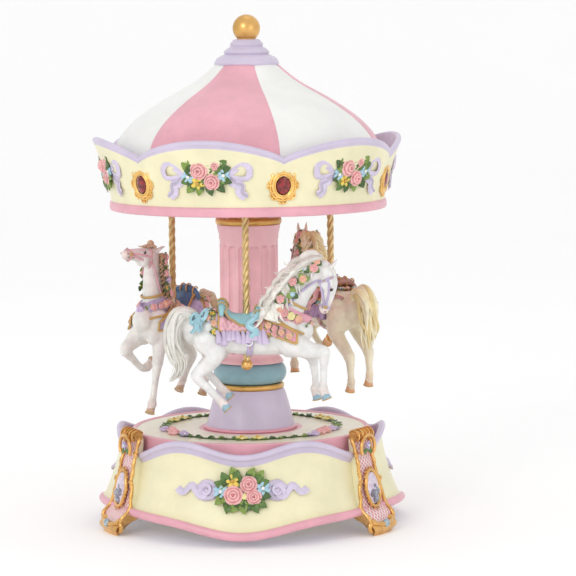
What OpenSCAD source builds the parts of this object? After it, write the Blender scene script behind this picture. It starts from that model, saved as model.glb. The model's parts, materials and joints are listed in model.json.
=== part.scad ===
// Carousel music box: three prancing horses hang on twisted poles under a turning canopy,
// above a three-sided base that holds a spring-driven musical movement.
// +Z is up, the front is -Y, and the origin is on the axis at the height of the feet.
// An angle called phi starts at the front and grows anticlockwise as seen from above.

/* [Base] */
// Height of the deck that the column stands on
deck_z = 57.4; // [50:0.1:70]
// Radius of the round deck
deck_r = 73; // [66:0.5:90]
// Radius of the base wall's top at the middle of a side
wall_top_r = 81; // [79:0.5:100]
// Radius of the base wall's foot at the middle of a side
wall_foot_r = 93.5; // [88:0.5:112]
// How far the wall draws in at its three corners
corner_inset = 4.5; // [3:0.5:6]
// Thickness of the base wall
wall_t = 3.5; // [2.5:0.1:4]
// Direction of the middle of the base's front side
base_phi = -3; // [-30:1:30]

/* [Column] */
// Height of the top of the column's gold ring
column_top_z = 187; // [170:1:230]
// Radius of the fluted shaft
column_r = 17.8; // [14:0.1:22]
// Number of flutes
flutes = 16; // [10:1:24]
// Outer radius of the steel tube inside the column
tube_r = 7; // [6:0.1:9]

/* [Canopy] */
// Outer radius of the canopy's bottom band
canopy_r = 84.5; // [78:0.5:105]
// Height of the canopy's bottom edge above the column's ring
canopy_gap = 5.4; // [4:0.1:8]
// Height of the scalloped wall at its low points
valance_h = 34.6; // [30:0.1:42]
// How much higher the scallops reach between the low points
scallop_h = 10.5; // [6:0.1:14]
// Height of the tent roof from its eave to its cap
roof_h = 59.9; // [50:0.1:75]
// Radius of the ball on top
finial_r = 8.4; // [6:0.1:11]
// Direction of one low point of the scallops
canopy_phi = 14.5; // [0:0.5:60]

/* [Horses] */
// Radius of the circle that the poles stand on
ride_r = 57; // [50:0.5:68]
// Height of a horse's middle above the deck, halfway through its ride
ride_h = 65.9; // [58:0.1:82]
// Half of a horse's rise and fall
crank_throw = 3; // [2:0.1:4]
// Diameter of a twisted pole
pole_d = 4; // [3:0.1:5]
// Direction of the front pole
horse_phi = -2.3; // [-10:0.1:10]

/* [Drive] */
// Diameter of the central drive shaft
shaft_d = 6; // [4:0.1:8]
// Diameter of each crankshaft
crank_d = 4; // [3:0.1:5]
// Diameter of each crank pin
pin_d = 3; // [2:0.1:4]
// Radial clearance of every running fit
run_fit = 0.05; // [0.02:0.01:0.1]
// Tooth module of the horse drive
crown_mod = 1.3333; // [1.1:0.0001:1.6]
// Teeth on the fixed crown gear
crown_teeth = 36; // [30:3:45]
// Teeth on each crank pinion
pinion_teeth = 12; // [12:1:15]

/* [Movement] */
// Outer radius of the spring barrel
barrel_r = 22; // [20:0.5:26]
// Height of the spring barrel
barrel_h = 12; // [10:0.5:14]
// Radius of the pinned cylinder
drum_r = 7; // [5:0.1:8]
// Number of comb teeth
comb_teeth = 18; // [12:1:30]
// Tooth module of the barrel's crown teeth
barrel_mod = 1; // [0.9:0.01:1.2]
// Tooth module of the governor train
train_mod = 0.7; // [0.6:0.01:0.8]

/* [Hidden] */

eps = 0.01;
sides = 3;
side_angle = 360 / sides;
round_fn = 64;

// Base heights, from the feet up
cover_z = 13.5;
cover_t = 2.5;
ledge_z = cover_z + cover_t;
ledge_t = 3;
ledge_r = 60;
cover_r = 66;
key_hole_r = 5;
flange_z = deck_z - 11.9;
flange_t = 3;
flange_r = deck_r - 7;
skirt_t = 3;
deck_t = 3.5;
deck_lip = 0.8;
band_r = 2.6;
bead_r = 2;
rim_hump_z = deck_z + 0.6;
rim_valley_z = deck_z - 6.4;
rim_corner_z = flange_z + 0.6;
hump_angle = 26;
corner_flare = 8;
band_low_z = 4;
band_rise = 8;

// Column heights
bell_top_z = deck_z + 24.4;
lower_ring_top_z = bell_top_z + 3.4;
torus_top_z = lower_ring_top_z + 12.9;
capital_z = column_top_z - 13.7;
upper_ring_z = column_top_z - 4.5;
bush_r = tube_r - 2;
bush_h = 8;
shaft_r = shaft_d / 2;

// Canopy heights
canopy_z = column_top_z + canopy_gap;
band_h = 5.8;
band_t = 4.5;
floor_t = 3;
floor_z = canopy_z + 1.6;
floor_top = floor_z + floor_t;
valance_z = canopy_z + band_h;
valance_t = 2.5;
valance_low = canopy_z + valance_h;
flare = 5;
peak_flare = 6.3;
trim_r = 1.7;
scallops = 6;
eave_z = canopy_z + 27.6;
eave_r = canopy_r - 0.5;
roof_t = 2.2;
roof_plate_z = eave_z + 3;
roof_plate_t = 2.5;
cap_z = eave_z + roof_h;
cap_r = 19.2;
finial_z = cap_z + 21.8;
hub_h = 9;
hub_r = 8;
gear_skirt_r = 12;
floor_hole_r = gear_skirt_r + 1;

// Horse drive
crown_r = crown_mod * crown_teeth / 2;
pinion_r = crown_mod * pinion_teeth / 2;
crown_face = 4;
crown_base_z = floor_top + 1.2;
crown_plate_t = 3;
press_angle = 20;
crown_add = pinion_r * pow(sin(press_angle), 2);
crown_ded = crown_mod;
crown_pitch_z = crown_base_z + crown_plate_t + crown_ded;
crank_z = crown_pitch_z + pinion_r;
crank_r = crank_d / 2;
pin_r = pin_d / 2;
eye_w = 5;
eye_r = pin_r + 2.5;
side_gap = 0.3;
web_t = 3;
web_r = crank_throw + pin_r + 2.5;
web_at = ride_r - eye_w / 2 - side_gap - web_t;
clip_at = ride_r + eye_w / 2 + side_gap;
clip_t = 1.2;
bearing_t = 4;
bearing_w = 14;
bearing_in = crown_r + 7;
bearing_out = web_at - bearing_t - 1;
// Crank angle of each horse at rest: 0 is up, and it turns towards the direction of travel
crank_phase = [155, 0, 180];
hang = crank_z - deck_z - ride_h;
slot_long = crank_throw + pole_d / 2 + 0.8;
slot_wide = pole_d / 2 + 0.8;

// Movement: the pinned cylinder lies along a radius, over the barrel's crown teeth
move_phi = 90;
bed_t = 3;
bed_z = ledge_z;
bed_top = bed_z + bed_t;
bed_l = 90;
bed_w = 52;
bed_back = 28;
barrel_z = bed_top + 2;
barrel_teeth = 2 * floor((barrel_r - 2) / barrel_mod);
barrel_pitch_r = barrel_mod * barrel_teeth / 2;
barrel_face = 3;
drum_pinion_teeth = 10;
drum_pinion_r = barrel_mod * drum_pinion_teeth / 2;
barrel_add = drum_pinion_r * pow(sin(press_angle), 2);
barrel_pitch_z = barrel_z + barrel_h + barrel_mod;
drum_z = barrel_pitch_z + drum_pinion_r;
arbor_r = 1.5;
drum_at = barrel_pitch_r + 7.5;
drum_l = 24;
post_t = 1.8;
inner_post_at = drum_at - 1 - post_t;
outer_post_at = drum_at + drum_l + 7;
wheel_at = drum_at + drum_l + 2;
wheel_t = 2;
wheel_teeth = 30;
fly_teeth = 10;
wheel_r = train_mod * wheel_teeth / 2;
fly_r = train_mod * fly_teeth / 2;
train_gap = wheel_r + fly_r;
comb_t = 1;
comb_clear = 1.4;
comb_l = 16;
pin_h = 0.8;
key_r = 2.5;
key_z = 2.5;
key_h = 8;

// Puts its children on the circle of radius r, at direction phi; local -Y points outwards
module at(phi, r = 0, z = 0) {
    rotate([0, 0, phi]) translate([0, -r, z]) children();
}

// Lays its children along a radius: local Z points outwards and local Y up
module radial(phi, r = 0, z = 0) {
    at(phi, r, z) rotate([90, 0, 0]) children();
}

// A smooth step from 0 to 1
function ease(t) = (1 - cos(180 * min(max(t, 0), 1))) / 2;

// Height between two neighbouring [position, value] keys, eased
function between(keys, x, i = 0) =
    i >= len(keys) - 2 || x < keys[i + 1][0]
        ? keys[i][1] + (keys[i + 1][1] - keys[i][1])
            * ease((x - keys[i][0]) / (keys[i + 1][0] - keys[i][0]))
        : between(keys, x, i + 1);

// Angle from the nearest middle, for a shape that repeats round the axis
function off_middle(a, step) = abs((a % step + step + step / 2) % step - step / 2);

// A closed ring whose section is the list of [radius, height] points that f(angle) returns
module loft(steps, f, phi) {
    rows = [for (i = [0:steps - 1]) f(360 * i / steps)];
    m = len(rows[0]);
    points = [
        for (i = [0:steps - 1])
            for (p = rows[i])
                [p[0] * sin(360 * i / steps), -p[0] * cos(360 * i / steps), p[1]]
    ];
    faces = [
        for (i = [0:steps - 1])
            for (k = [0:m - 1])
                let (a = i * m, b = ((i + 1) % steps) * m, n = (k + 1) % m)
                    for (t = [[a + k, a + n, b + n], [a + k, b + n, b + k]]) t
    ];
    rotate([0, 0, phi]) polyhedron(points, faces);
}

// ---------- gears ----------

function involute(a) = tan(a) * 180 / PI - a;

// Half the angle that a tooth spans at radius r
function tooth_half(r, pitch_r, base_r, half_pitch) =
    half_pitch + involute(press_angle) - involute(acos(min(1, base_r / max(r, base_r))));

// Outline of a spur gear with one tooth centred on the angle phase
module gear(teeth, mod, add, ded, fill, phase = 0) {
    pitch_r = mod * teeth / 2;
    base_r = pitch_r * cos(press_angle);
    half_pitch = fill * 180 / teeth;
    root_r = pitch_r - ded;
    low_r = max(base_r, root_r);
    tip_r = pitch_r + add;
    rise = [for (i = [0:4]) low_r + (tip_r - low_r) * i / 4];
    flank = concat([root_r], rise);
    polygon([
        for (k = [0:teeth - 1])
            for (s = [-1, 1])
                for (i = [0:len(flank) - 1])
                    let (
                        r = s < 0 ? flank[i] : flank[len(flank) - 1 - i],
                        a = phase + k * 360 / teeth
                            + s * tooth_half(r, pitch_r, base_r, half_pitch)
                    )
                        [r * cos(a), r * sin(a)]
    ]);
}

// Rack-shaped teeth standing on a ring, centred on phi
module crown_ring(teeth, mod, add, ded, fill, face, phi) {
    pitch_r = mod * teeth / 2;
    half = fill * PI * mod / 2;
    slope = tan(press_angle);
    for (k = [0:teeth - 1])
        radial(phi + k * 360 / teeth, pitch_r - face / 2)
            linear_extrude(face)
                polygon([
                    [-half - ded * slope, -ded - 0.3], [half + ded * slope, -ded - 0.3],
                    [half + ded * slope, -ded], [half - add * slope, add],
                    [-half + add * slope, add], [-half - ded * slope, -ded]
                ]);
}

// ---------- base ----------

// How far along from a corner (0) to the middle of a side (1)
function bulge(a) = 1 - pow(off_middle(a, side_angle) / (side_angle / 2), 2.5);

function rim_z(a) =
    let (t = off_middle(a, side_angle))
        t < hump_angle
            ? rim_valley_z + (rim_hump_z - rim_valley_z) * ease(t / hump_angle)
            : rim_hump_z - (rim_hump_z - rim_corner_z)
                * ease((t - hump_angle) / (side_angle / 2 - hump_angle));

function foot_z(a) =
    band_low_z + band_rise * (1 - exp(-pow(off_middle(a, side_angle) / 20, 2)));

function base_section(a) =
    let (
        w = bulge(a),
        top = wall_top_r - corner_inset * (1 - w),
        foot = wall_foot_r - (wall_foot_r - wall_top_r + corner_inset - corner_flare) * (1 - w),
        zb = foot_z(a),
        zt = rim_z(a),
        zw = zb + 2 * band_r,
        wall = [
            for (t = [0, 0.25, 0.5, 0.75])
                [top + (foot - 1 - top) * pow(1 - t, 1.7), zw + (zt - bead_r - zw) * t]
        ]
    )
        concat(
            [for (d = [-90:45:45]) [foot + band_r * cos(d), zb + band_r + band_r * sin(d)]],
            wall,
            [for (d = [-60:45:165]) [top + 0.6 + bead_r * cos(d), zt + bead_r * sin(d)]],
            [
                [top - wall_t, flange_z], [flange_r, flange_z],
                [flange_r, flange_z - flange_t], [top - wall_t + 0.5, flange_z - flange_t],
                [top - wall_t + 1, ledge_z + ledge_t], [ledge_r, ledge_z + ledge_t],
                [ledge_r, ledge_z], [top - wall_t + 1, ledge_z]
            ]
        );

module base_shell() {
    color("cornsilk") loft(72, function (a) base_section(a), base_phi);
}

module deck_plate() {
    color("mistyrose")
        rotate_extrude($fn = round_fn)
            polygon([
                [tube_r, deck_z - deck_t], [deck_r - skirt_t, deck_z - deck_t],
                [deck_r - skirt_t, flange_z], [deck_r, flange_z],
                [deck_r, deck_z], [deck_r - 0.8, deck_z + deck_lip],
                [deck_r - 2.2, deck_z + deck_lip], [deck_r - 3, deck_z],
                [tube_r, deck_z]
            ]);
}

module deck_garland() {
    vine_r = deck_r - 20;
    vine_h = 1;
    color("olivedrab") {
        tube(deck_z, deck_z + vine_h, vine_r + 1, vine_r - 1);
        for (k = [0:sides - 1]) {
            for (s = [-2.5, 2.5])
                at(base_phi + 3 + k * side_angle + s, vine_r, deck_z)
                    cylinder(vine_h + 0.6, r = 2, $fn = 32);
            for (s = [-7, 0, 7])
                at(base_phi + 3 + (k + 0.5) * side_angle + s, vine_r, deck_z)
                    cylinder(vine_h + 1, r = 2.6, $fn = 32);
        }
    }
}

// Half width and outer reach of a corner foot at each height
foot_width = [[0, 11], [7, 13.5], [15, 14], [25, 10.5], [36, 11], [47, 8], [56, 10], [62, 2]];
foot_reach = [[0, 97], [4, 99.2], [9, 96], [18, 90], [30, 88], [40, 86], [50, 83.5], [62, 80.5]];
foot_in = wall_top_r - corner_inset;

// Stretches the foot's shape with the height of the deck
function foot_at(z) = z * deck_z / 57.4;

module corner_foot(phi) {
    zs = [for (i = [0:24]) i * 62 / 24];
    shift = foot_in - 76.5;
    intersection() {
        radial(phi)
            linear_extrude(120)
                polygon(concat(
                    [for (z = zs) [between(foot_width, z), foot_at(z)]],
                    [for (i = [24:-1:0]) [-between(foot_width, zs[i]), foot_at(zs[i])]]
                ));
        at(phi) rotate([90, 0, -90])
            translate([0, 0, -20])
                linear_extrude(40)
                    polygon(concat(
                        [for (z = zs) [between(foot_reach, z) + shift, foot_at(z)]],
                        [[foot_in - 1, foot_at(62)], [foot_in - 1, 0]]
                    ));
    }
}

module corner_feet() {
    color("goldenrod")
        for (k = [0:sides - 1]) corner_foot(base_phi + (k + 0.5) * side_angle);
}

module corner_stones() {
    z = 27;
    shift = foot_in - 76.5;
    color("thistle")
        for (k = [0:sides - 1]) {
            radial(base_phi + (k + 0.5) * side_angle, 87.5 + shift, foot_at(z))
                scale([1, 1.4, 0.5]) sphere(5, $fn = round_fn);
            radial(base_phi + (k + 0.5) * side_angle, 96.6 + shift, foot_at(7))
                cylinder(2.6, r1 = 2.6, r2 = 1.4, $fn = round_fn);
        }
}

// A posy of roses with a ribbon knot either side
module posy(wide, high, rose_r) {
    for (x = [-1, 0, 1])
        translate([x * wide * 0.27, (x == 0 ? -0.12 : 0.12) * high, 0])
            sphere(rose_r, $fn = round_fn);
    for (x = [-1, 1])
        translate([x * wide * 0.1, (0.3 - 0.1 * x) * high, 0])
            sphere(rose_r * 0.8, $fn = round_fn);
}

module bow(reach, knot_r, tail) {
    for (s = [-1, 1]) {
        translate([s * reach, 0, -1]) cylinder(2.4, r = knot_r, $fn = round_fn);
        translate([s * (reach + knot_r * 1.2), -tail / 2, 0])
            rotate([0, 0, s * 25]) cube([knot_r * 0.7, tail, 2], center = true);
    }
}

module base_bouquets() {
    bouquet_z = 32;
    r = wall_top_r + 3.6;
    color("pink")
        for (k = [0:sides - 1])
            radial(base_phi + k * side_angle, r, bouquet_z) {
                posy(31, 24, 5.2);
                bow(22, 6, 12);
            }
}

module screw_spots(where) {
    for (p = where) translate(p) children();
}

cover_spots = [for (k = [0:2]) let (a = 30 + k * 120) [63 * sin(a), -63 * cos(a), 0]];
bed_spots = [for (x = [-22, 54]) for (y = [-20, 20]) [x, y, 0]];

module bottom_cover() {
    color("wheat")
        translate([0, 0, cover_z])
            difference() {
                cylinder(cover_t, r = cover_r, $fn = round_fn);
                translate([0, 0, -1]) cylinder(cover_t + 2, r = key_hole_r, $fn = round_fn);
                screw_spots(cover_spots)
                    translate([0, 0, -1]) cylinder(cover_t + 2, r = 1.2, $fn = 32);
                screw_spots(bed_spots)
                    translate([0, 0, -1]) cylinder(cover_t + 2, r = 1.2, $fn = 32);
            }
}

module cover_screws() {
    color("silver")
        screw_spots(cover_spots) {
            translate([0, 0, cover_z - 1.2]) cylinder(1.2, r = 2.4, $fn = 32);
            translate([0, 0, cover_z - eps]) cylinder(cover_t + 2.4, r = 1.2, $fn = 32);
        }
}

// ---------- column ----------

module turned(points) {
    rotate_extrude($fn = round_fn) polygon(points);
}

module tube(z0, z1, outer, inner) {
    turned([[inner, z0], [outer, z0], [outer, z1], [inner, z1]]);
}

module column_tube() {
    color("silver") tube(deck_z - 6.4, crown_base_z, tube_r, bush_r);
}

module column_bell() {
    h = bell_top_z - deck_z;
    color("plum")
        turned(concat(
            [[tube_r, deck_z], [28.8, deck_z], [28.8, deck_z + 1.8], [27, deck_z + 2.6]],
            [for (t = [0.15:0.17:1]) [20.4 + 6.4 * pow(1 - t, 0.75), deck_z + h * t]],
            [[20, bell_top_z], [tube_r, bell_top_z]]
        ));
}

// A ring with a half-round outside
module round_ring(z0, z1, r, inner) {
    h = z1 - z0;
    turned(concat(
        [[inner, z0]],
        [for (d = [-90:15:90]) [r - h * 0.35 + h * 0.35 * cos(d), (z0 + z1) / 2 + h / 2 * sin(d)]],
        [[inner, z1]]
    ));
}

module column_lower_ring() {
    color("gold") round_ring(bell_top_z, lower_ring_top_z, 20.9, tube_r);
}

module column_torus() {
    color("cadetblue") round_ring(lower_ring_top_z, torus_top_z, 22.4, tube_r);
}

module column_shaft() {
    flute_r = 2.1;
    color("pink")
        difference() {
            turned([
                [tube_r, torus_top_z], [column_r + 2.9, torus_top_z],
                [column_r + 1.6, torus_top_z + 2.4], [column_r, torus_top_z + 4],
                [column_r, capital_z], [column_r + 0.4, capital_z + 0.8],
                [column_r + 1.6, upper_ring_z], [tube_r, upper_ring_z]
            ]);
            for (k = [0:flutes - 1])
                at((k + 0.5) * 360 / flutes, column_r + 0.9, torus_top_z + 7)
                    cylinder(capital_z - torus_top_z - 10, r = flute_r, $fn = 32);
        }
}

module column_upper_ring() {
    color("gold") round_ring(upper_ring_z, column_top_z, 20.4, tube_r);
}

module crown_gear() {
    color("darkgoldenrod") {
        tube(column_top_z, crown_base_z + eps, gear_skirt_r, tube_r);
        tube(
            crown_base_z, crown_base_z + crown_plate_t, crown_r + crown_face / 2,
            shaft_r + 1
        );
        translate([0, 0, crown_pitch_z])
            crown_ring(
                crown_teeth, crown_mod, crown_add, crown_ded, 0.36, crown_face, horse_phi
            );
    }
}

module upper_bush() {
    color("peru") tube(column_top_z - 4, column_top_z - 4 + bush_h, bush_r, shaft_r + run_fit);
}

module lower_bush() {
    color("peru") tube(deck_z - 6.4, deck_z - 6.4 + bush_h, bush_r, shaft_r + run_fit);
}

// ---------- movement ----------

module bedplate() {
    color("darkkhaki")
        translate([0, 0, bed_z])
            difference() {
                intersection() {
                    translate([-bed_back, -bed_w / 2, 0]) cube([bed_l, bed_w, bed_t]);
                    cylinder(bed_t, r = ledge_r - 2 * run_fit, $fn = round_fn);
                }
                translate([0, 0, -1]) cylinder(bed_t + 2, r = key_r + run_fit, $fn = round_fn);
                screw_spots(bed_spots)
                    translate([0, 0, -1]) cylinder(bed_t + 2, r = 1.2, $fn = 32);
            }
}

// Upright with a bore along the radius, standing on a floor at local height 0
module upright(w, h, t, bore_r, bore_h) {
    difference() {
        translate([-w / 2, 0, 0]) cube([w, h, t]);
        translate([0, bore_h, -1]) cylinder(t + 2, r = bore_r, $fn = round_fn);
    }
}

module cylinder_bearings() {
    h = drum_z - bed_top;
    color("darkkhaki") {
        for (r = [inner_post_at, outer_post_at])
            radial(move_phi, r, bed_top)
                upright(7, h + 3.5, post_t, arbor_r + run_fit, h);
        for (r = [wheel_at - 4, outer_post_at])
            radial(move_phi, r, bed_top)
                translate([train_gap, 0, 0]) upright(5, h + 3, post_t, 1 + run_fit, h);
    }
}

module music_cylinder() {
    color("gold")
        radial(move_phi, 0, drum_z) {
            translate([0, 0, drum_at]) cylinder(drum_l, r = drum_r, $fn = round_fn);
            translate([0, 0, barrel_pitch_r + barrel_face / 2 + 0.6])
                cylinder(outer_post_at + post_t + 1 - barrel_pitch_r - 2.1, r = arbor_r, $fn = 32);
            for (k = [0:23])
                rotate([0, 0, k * 137.5])
                    translate([drum_r - 0.5, 0, drum_at + 1.5 + k * 21 / 23])
                        rotate([0, 90, 0]) cylinder(pin_h + 0.5, r = 0.3, $fn = 24);
        }
}

module cylinder_gears() {
    color("khaki")
        radial(move_phi, 0, drum_z) {
            translate([0, 0, barrel_pitch_r - barrel_face / 2 - 0.5])
                difference() {
                    linear_extrude(barrel_face + 1.1)
                        gear(
                            drum_pinion_teeth, barrel_mod, 0.8 * barrel_mod,
                            barrel_add + 0.3, 0.4, 90 + 180 / drum_pinion_teeth
                        );
                }
            translate([0, 0, wheel_at])
                difference() {
                    linear_extrude(wheel_t)
                        gear(wheel_teeth, train_mod, 0.8 * train_mod, train_mod, 0.42, 0);
                    translate([0, 0, -1]) cylinder(wheel_t + 2, r = arbor_r, $fn = 32);
                }
        }
}

module governor() {
    blade = 5.5;
    color("gold")
        radial(move_phi, wheel_at - 6, drum_z)
            translate([train_gap, 0, 0]) {
                cylinder(outer_post_at + post_t + 1 - wheel_at + 6, r = 1, $fn = 32);
                translate([0, 0, 6])
                    linear_extrude(wheel_t)
                        gear(
                            fly_teeth, train_mod, 0.8 * train_mod, 0.9 * train_mod, 0.42,
                            180 + 180 / fly_teeth
                        );
                translate([-blade, -0.4, -8]) cube([2 * blade, 0.8, 9]);
                translate([0, 0, -8]) cylinder(8 + eps, r = 1, $fn = 32);
            }
}

module comb() {
    tip = drum_r + comb_clear;
    pitch = (drum_l - 2) / comb_teeth;
    color("lightsteelblue")
        radial(move_phi, drum_at + 1, drum_z - comb_t / 2)
            rotate([-90, 0, 0])
                translate([0, 0, -comb_t])
                    difference() {
                        linear_extrude(comb_t)
                            polygon(concat(
                                [for (k = [0:comb_teeth - 1])
                                    for (p = [
                                        [-tip, -k * pitch], [-tip, -(k + 0.7) * pitch],
                                        [-tip - 8, -(k + 0.7) * pitch],
                                        [-tip - 8, -(k + 1) * pitch]
                                    ]) p],
                                [[-tip - comb_l, -drum_l + 2], [-tip - comb_l, 0]]
                            ));
                        for (k = [0, 1])
                            translate([-tip - comb_l + 3, -5 - k * 12, -1])
                                cylinder(comb_t + 2, r = 1, $fn = 32);
                    }
}

// Block under the comb's root, and the two screws that clamp the comb to it
module comb_screws() {
    tip = drum_r + comb_clear;
    color("silver")
        radial(move_phi, drum_at + 1, drum_z)
            rotate([-90, 0, 0])
                for (k = [0, 1])
                    translate([-tip - comb_l + 3, -5 - k * 12, 0]) {
                        translate([0, 0, comb_t / 2]) cylinder(1, r = 1.9, $fn = 32);
                        translate([0, 0, -3]) cylinder(4, r = 1, $fn = 32);
                    }
}

module movement_screws() {
    color("silver")
        screw_spots(bed_spots) {
            translate([0, 0, bed_top]) cylinder(1.3, r = 2.4, $fn = 32);
            translate([0, 0, cover_z]) cylinder(bed_top - cover_z + eps, r = 1.2, $fn = 32);
        }
}

module spring_barrel() {
    shell = 1.5;
    top = barrel_z + barrel_h;
    color("goldenrod") {
        turned([
            [key_r + 2, barrel_z], [barrel_r, barrel_z], [barrel_r, top],
            [shaft_r, top], [shaft_r, top - 2], [barrel_r - shell, top - 2],
            [barrel_r - shell, barrel_z + 1], [key_r + 2, barrel_z + 1]
        ]);
        translate([0, 0, barrel_pitch_z])
            crown_ring(
                barrel_teeth, barrel_mod, barrel_add, barrel_mod, 0.34, barrel_face, move_phi
            );
    }
}

module mainspring() {
    turns = 6;
    steps = 20 * turns;
    strip = 0.8;
    r0 = key_r + 2.2;
    r1 = barrel_r - 1.5 - strip;
    function arm(i, d) =
        let (r = r0 + (r1 - r0) * i / steps + d, a = 360 * turns * i / steps)
            [r * cos(a), r * sin(a)];
    color("slategray")
        translate([0, 0, barrel_z + 1.6])
            linear_extrude(barrel_h - 4.2)
                polygon(concat(
                    [for (i = [0:steps]) arm(i, 0)],
                    [for (i = [steps:-1:0]) arm(i, strip)]
                ));
}

module winding_key() {
    wing = 8;
    color("silver") {
        translate([0, 0, key_z + 5])
            cylinder(barrel_z + barrel_h - 3 - key_z - 5, r = key_r, $fn = round_fn);
        translate([0, 0, key_z + 3]) cylinder(5, r = 4, $fn = round_fn);
        for (s = [-1, 1])
            translate([s * wing, 1.25, key_z + key_h / 2])
                rotate([90, 0, 0])
                    difference() {
                        cylinder(2.5, r = key_h / 2, $fn = round_fn);
                        translate([s * 1, 0, -1]) cylinder(5, r = 1.6, $fn = round_fn);
                    }
        translate([-wing, -1.25, key_z + 2.5]) cube([2 * wing, 2.5, 3.5]);
    }
}

// ---------- canopy ----------

module drive_shaft() {
    color("silver")
        translate([0, 0, barrel_z + barrel_h - 2])
            cylinder(
                roof_plate_z + roof_plate_t + 7 - barrel_z - barrel_h + 2,
                r = shaft_r, $fn = round_fn
            );
}

module canopy_floor() {
    color("mistyrose")
        difference() {
            tube(floor_z, floor_top, canopy_r - band_t, floor_hole_r);
            for (k = [0:2])
                at(horse_phi + k * 120, ride_r, floor_z - 1) {
                    translate([-slot_long, -slot_wide, 0])
                        cube([2 * slot_long, 2 * slot_wide, floor_t + 2]);
                }
        }
}

function scallop(a) = sin(90 * off_middle(a, 360 / scallops) / (180 / scallops));

function valance_section(a) =
    let (
        s = pow(scallop(a), 0.8),
        top = valance_low + scallop_h * s - trim_r,
        top_r = canopy_r + flare + (peak_flare - 1) * s,
        z0 = valance_z,
        low_r = canopy_r - 1,
        mid = [
            for (t = [0.15, 0.4, 0.65, 0.9])
                [low_r + (top_r - low_r) * pow(t, 1.35), z0 + (top - z0) * t]
        ]
    )
        concat(
            [
                [canopy_r - band_t, canopy_z], [canopy_r - 1.2, canopy_z],
                [canopy_r, canopy_z + 1.2], [canopy_r, valance_z - 1.4],
                [low_r, valance_z]
            ],
            mid,
            [for (d = [-45:45:180]) [top_r - trim_r + trim_r * cos(d), top + trim_r * sin(d)]],
            [for (i = [3:-1:0]) [mid[i][0] - valance_t, mid[i][1]]],
            [[canopy_r - band_t, valance_z]]
        );

module valance() {
    color("cornsilk") loft(72, function (a) valance_section(a), canopy_phi);
}

module roof_plate() {
    color("wheat")
        turned([
            [shaft_r, roof_plate_z - hub_h], [hub_r, roof_plate_z - hub_h],
            [hub_r, roof_plate_z], [eave_r - 5, roof_plate_z],
            [eave_r - 5, roof_plate_z + roof_plate_t], [shaft_r, roof_plate_z + roof_plate_t]
        ]);
}

module canopy_posts() {
    color("wheat")
        for (k = [0:2])
            at(horse_phi + 60 + k * 120, canopy_r - 20, floor_top)
                cylinder(roof_plate_z - floor_top, r = 3.5, $fn = round_fn);
}

// Roof outline from the eave up, as shares of the eave radius and of the roof's height
roof_line = [[1, 0], [0.972, 0.1], [0.933, 0.262], [0.817, 0.446], [0.625, 0.634], [0.385, 0.826]];

module canopy_roof() {
    outside = concat(
        [for (p = roof_line) [eave_r * p[0], eave_z + roof_h * p[1]]], [[cap_r, cap_z]]
    );
    inside = [for (i = [len(outside) - 1:-1:0]) [outside[i][0] - roof_t, outside[i][1] - (i == 0 ? 0 : 1.2)]];
    color("hotpink") turned(concat(outside, inside));
}

module roof_cap() {
    z = cap_z;
    color("plum")
        turned([
            [0, z - 1], [cap_r - 4, z - 1], [cap_r + 0.6, z], [cap_r + 0.6, z + 1.6],
            [cap_r - 1.4, z + 4], [13.6, z + 6], [13.8, z + 7.4], [12.4, z + 9],
            [10, z + 10.6], [10.1, z + 12], [8.8, z + 13.6], [7.7, z + 15], [0, z + 15.4]
        ]);
}

module finial_ball() {
    color("gold")
        difference() {
            translate([0, 0, finial_z]) sphere(finial_r, $fn = round_fn);
            translate([0, 0, cap_z - 2]) cylinder(17.4, r = 9, $fn = round_fn);
        }
}

// Puts its children on the scalloped wall, facing outwards
module on_wall(phi, z) {
    t = (z - valance_z) / (valance_low - valance_z);
    radial(phi, canopy_r - 1 + flare * pow(t, 1.35), z) rotate([9, 0, 0]) children();
}

medallion_z = canopy_z + 18.6;
bouquet_z = canopy_z + 25.3;

module oval(r) {
    scale([0.85, 1]) circle(r, $fn = round_fn);
}

module medallion_frames() {
    color("gold")
        for (k = [0:scallops - 1])
            on_wall(canopy_phi + k * 60, medallion_z) {
                translate([0, 0, -1])
                    linear_extrude(2) difference() { oval(10.7); oval(5.4); }
                linear_extrude(2) difference() { oval(9.2); oval(6.6); }
            }
}

module medallion_gems() {
    color("crimson")
        for (k = [0:scallops - 1])
            on_wall(canopy_phi + k * 60, medallion_z)
                scale([0.8, 1, 0.5]) sphere(5.2, $fn = round_fn);
}

module valance_bouquets() {
    color("pink")
        for (k = [0:scallops - 1])
            on_wall(canopy_phi + 30 + k * 60, bouquet_z) {
                posy(30, 20, 4.2);
                bow(20, 5, 12);
            }
}

module crank_bearings() {
    h = crank_z - floor_top;
    color("darkkhaki")
        for (k = [0:2])
            for (r = [bearing_in, bearing_out])
                radial(horse_phi + k * 120, r, floor_top)
                    upright(bearing_w, h + 5, bearing_t, crank_r + run_fit, h);
}

module hub_nut() {
    z = roof_plate_z + roof_plate_t;
    color("silver")
        translate([0, 0, z])
            difference() {
                cylinder(4, r = 6, $fn = 6);
                translate([0, 0, -1]) cylinder(6, r = shaft_r, $fn = round_fn);
            }
}

// ---------- cranks, poles and horses ----------

// Crank pin's place on its circle: first towards the direction of travel, then up
function pin_spot(i) = crank_throw * [sin(crank_phase[i]), cos(crank_phase[i])];

module crank_shaft(i) {
    p = pin_spot(i);
    start = crown_r + crown_face / 2 + 0.6;
    color("silver")
        radial(horse_phi + i * 120, 0, crank_z) {
            translate([0, 0, start]) cylinder(web_at - start, r = crank_r, $fn = round_fn);
            translate([0, 0, web_at]) cylinder(web_t, r = web_r, $fn = round_fn);
            translate([p[0], p[1], web_at + web_t - eps])
                cylinder(clip_at + clip_t + 0.6 - web_at - web_t, r = pin_r, $fn = round_fn);
        }
}

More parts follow.
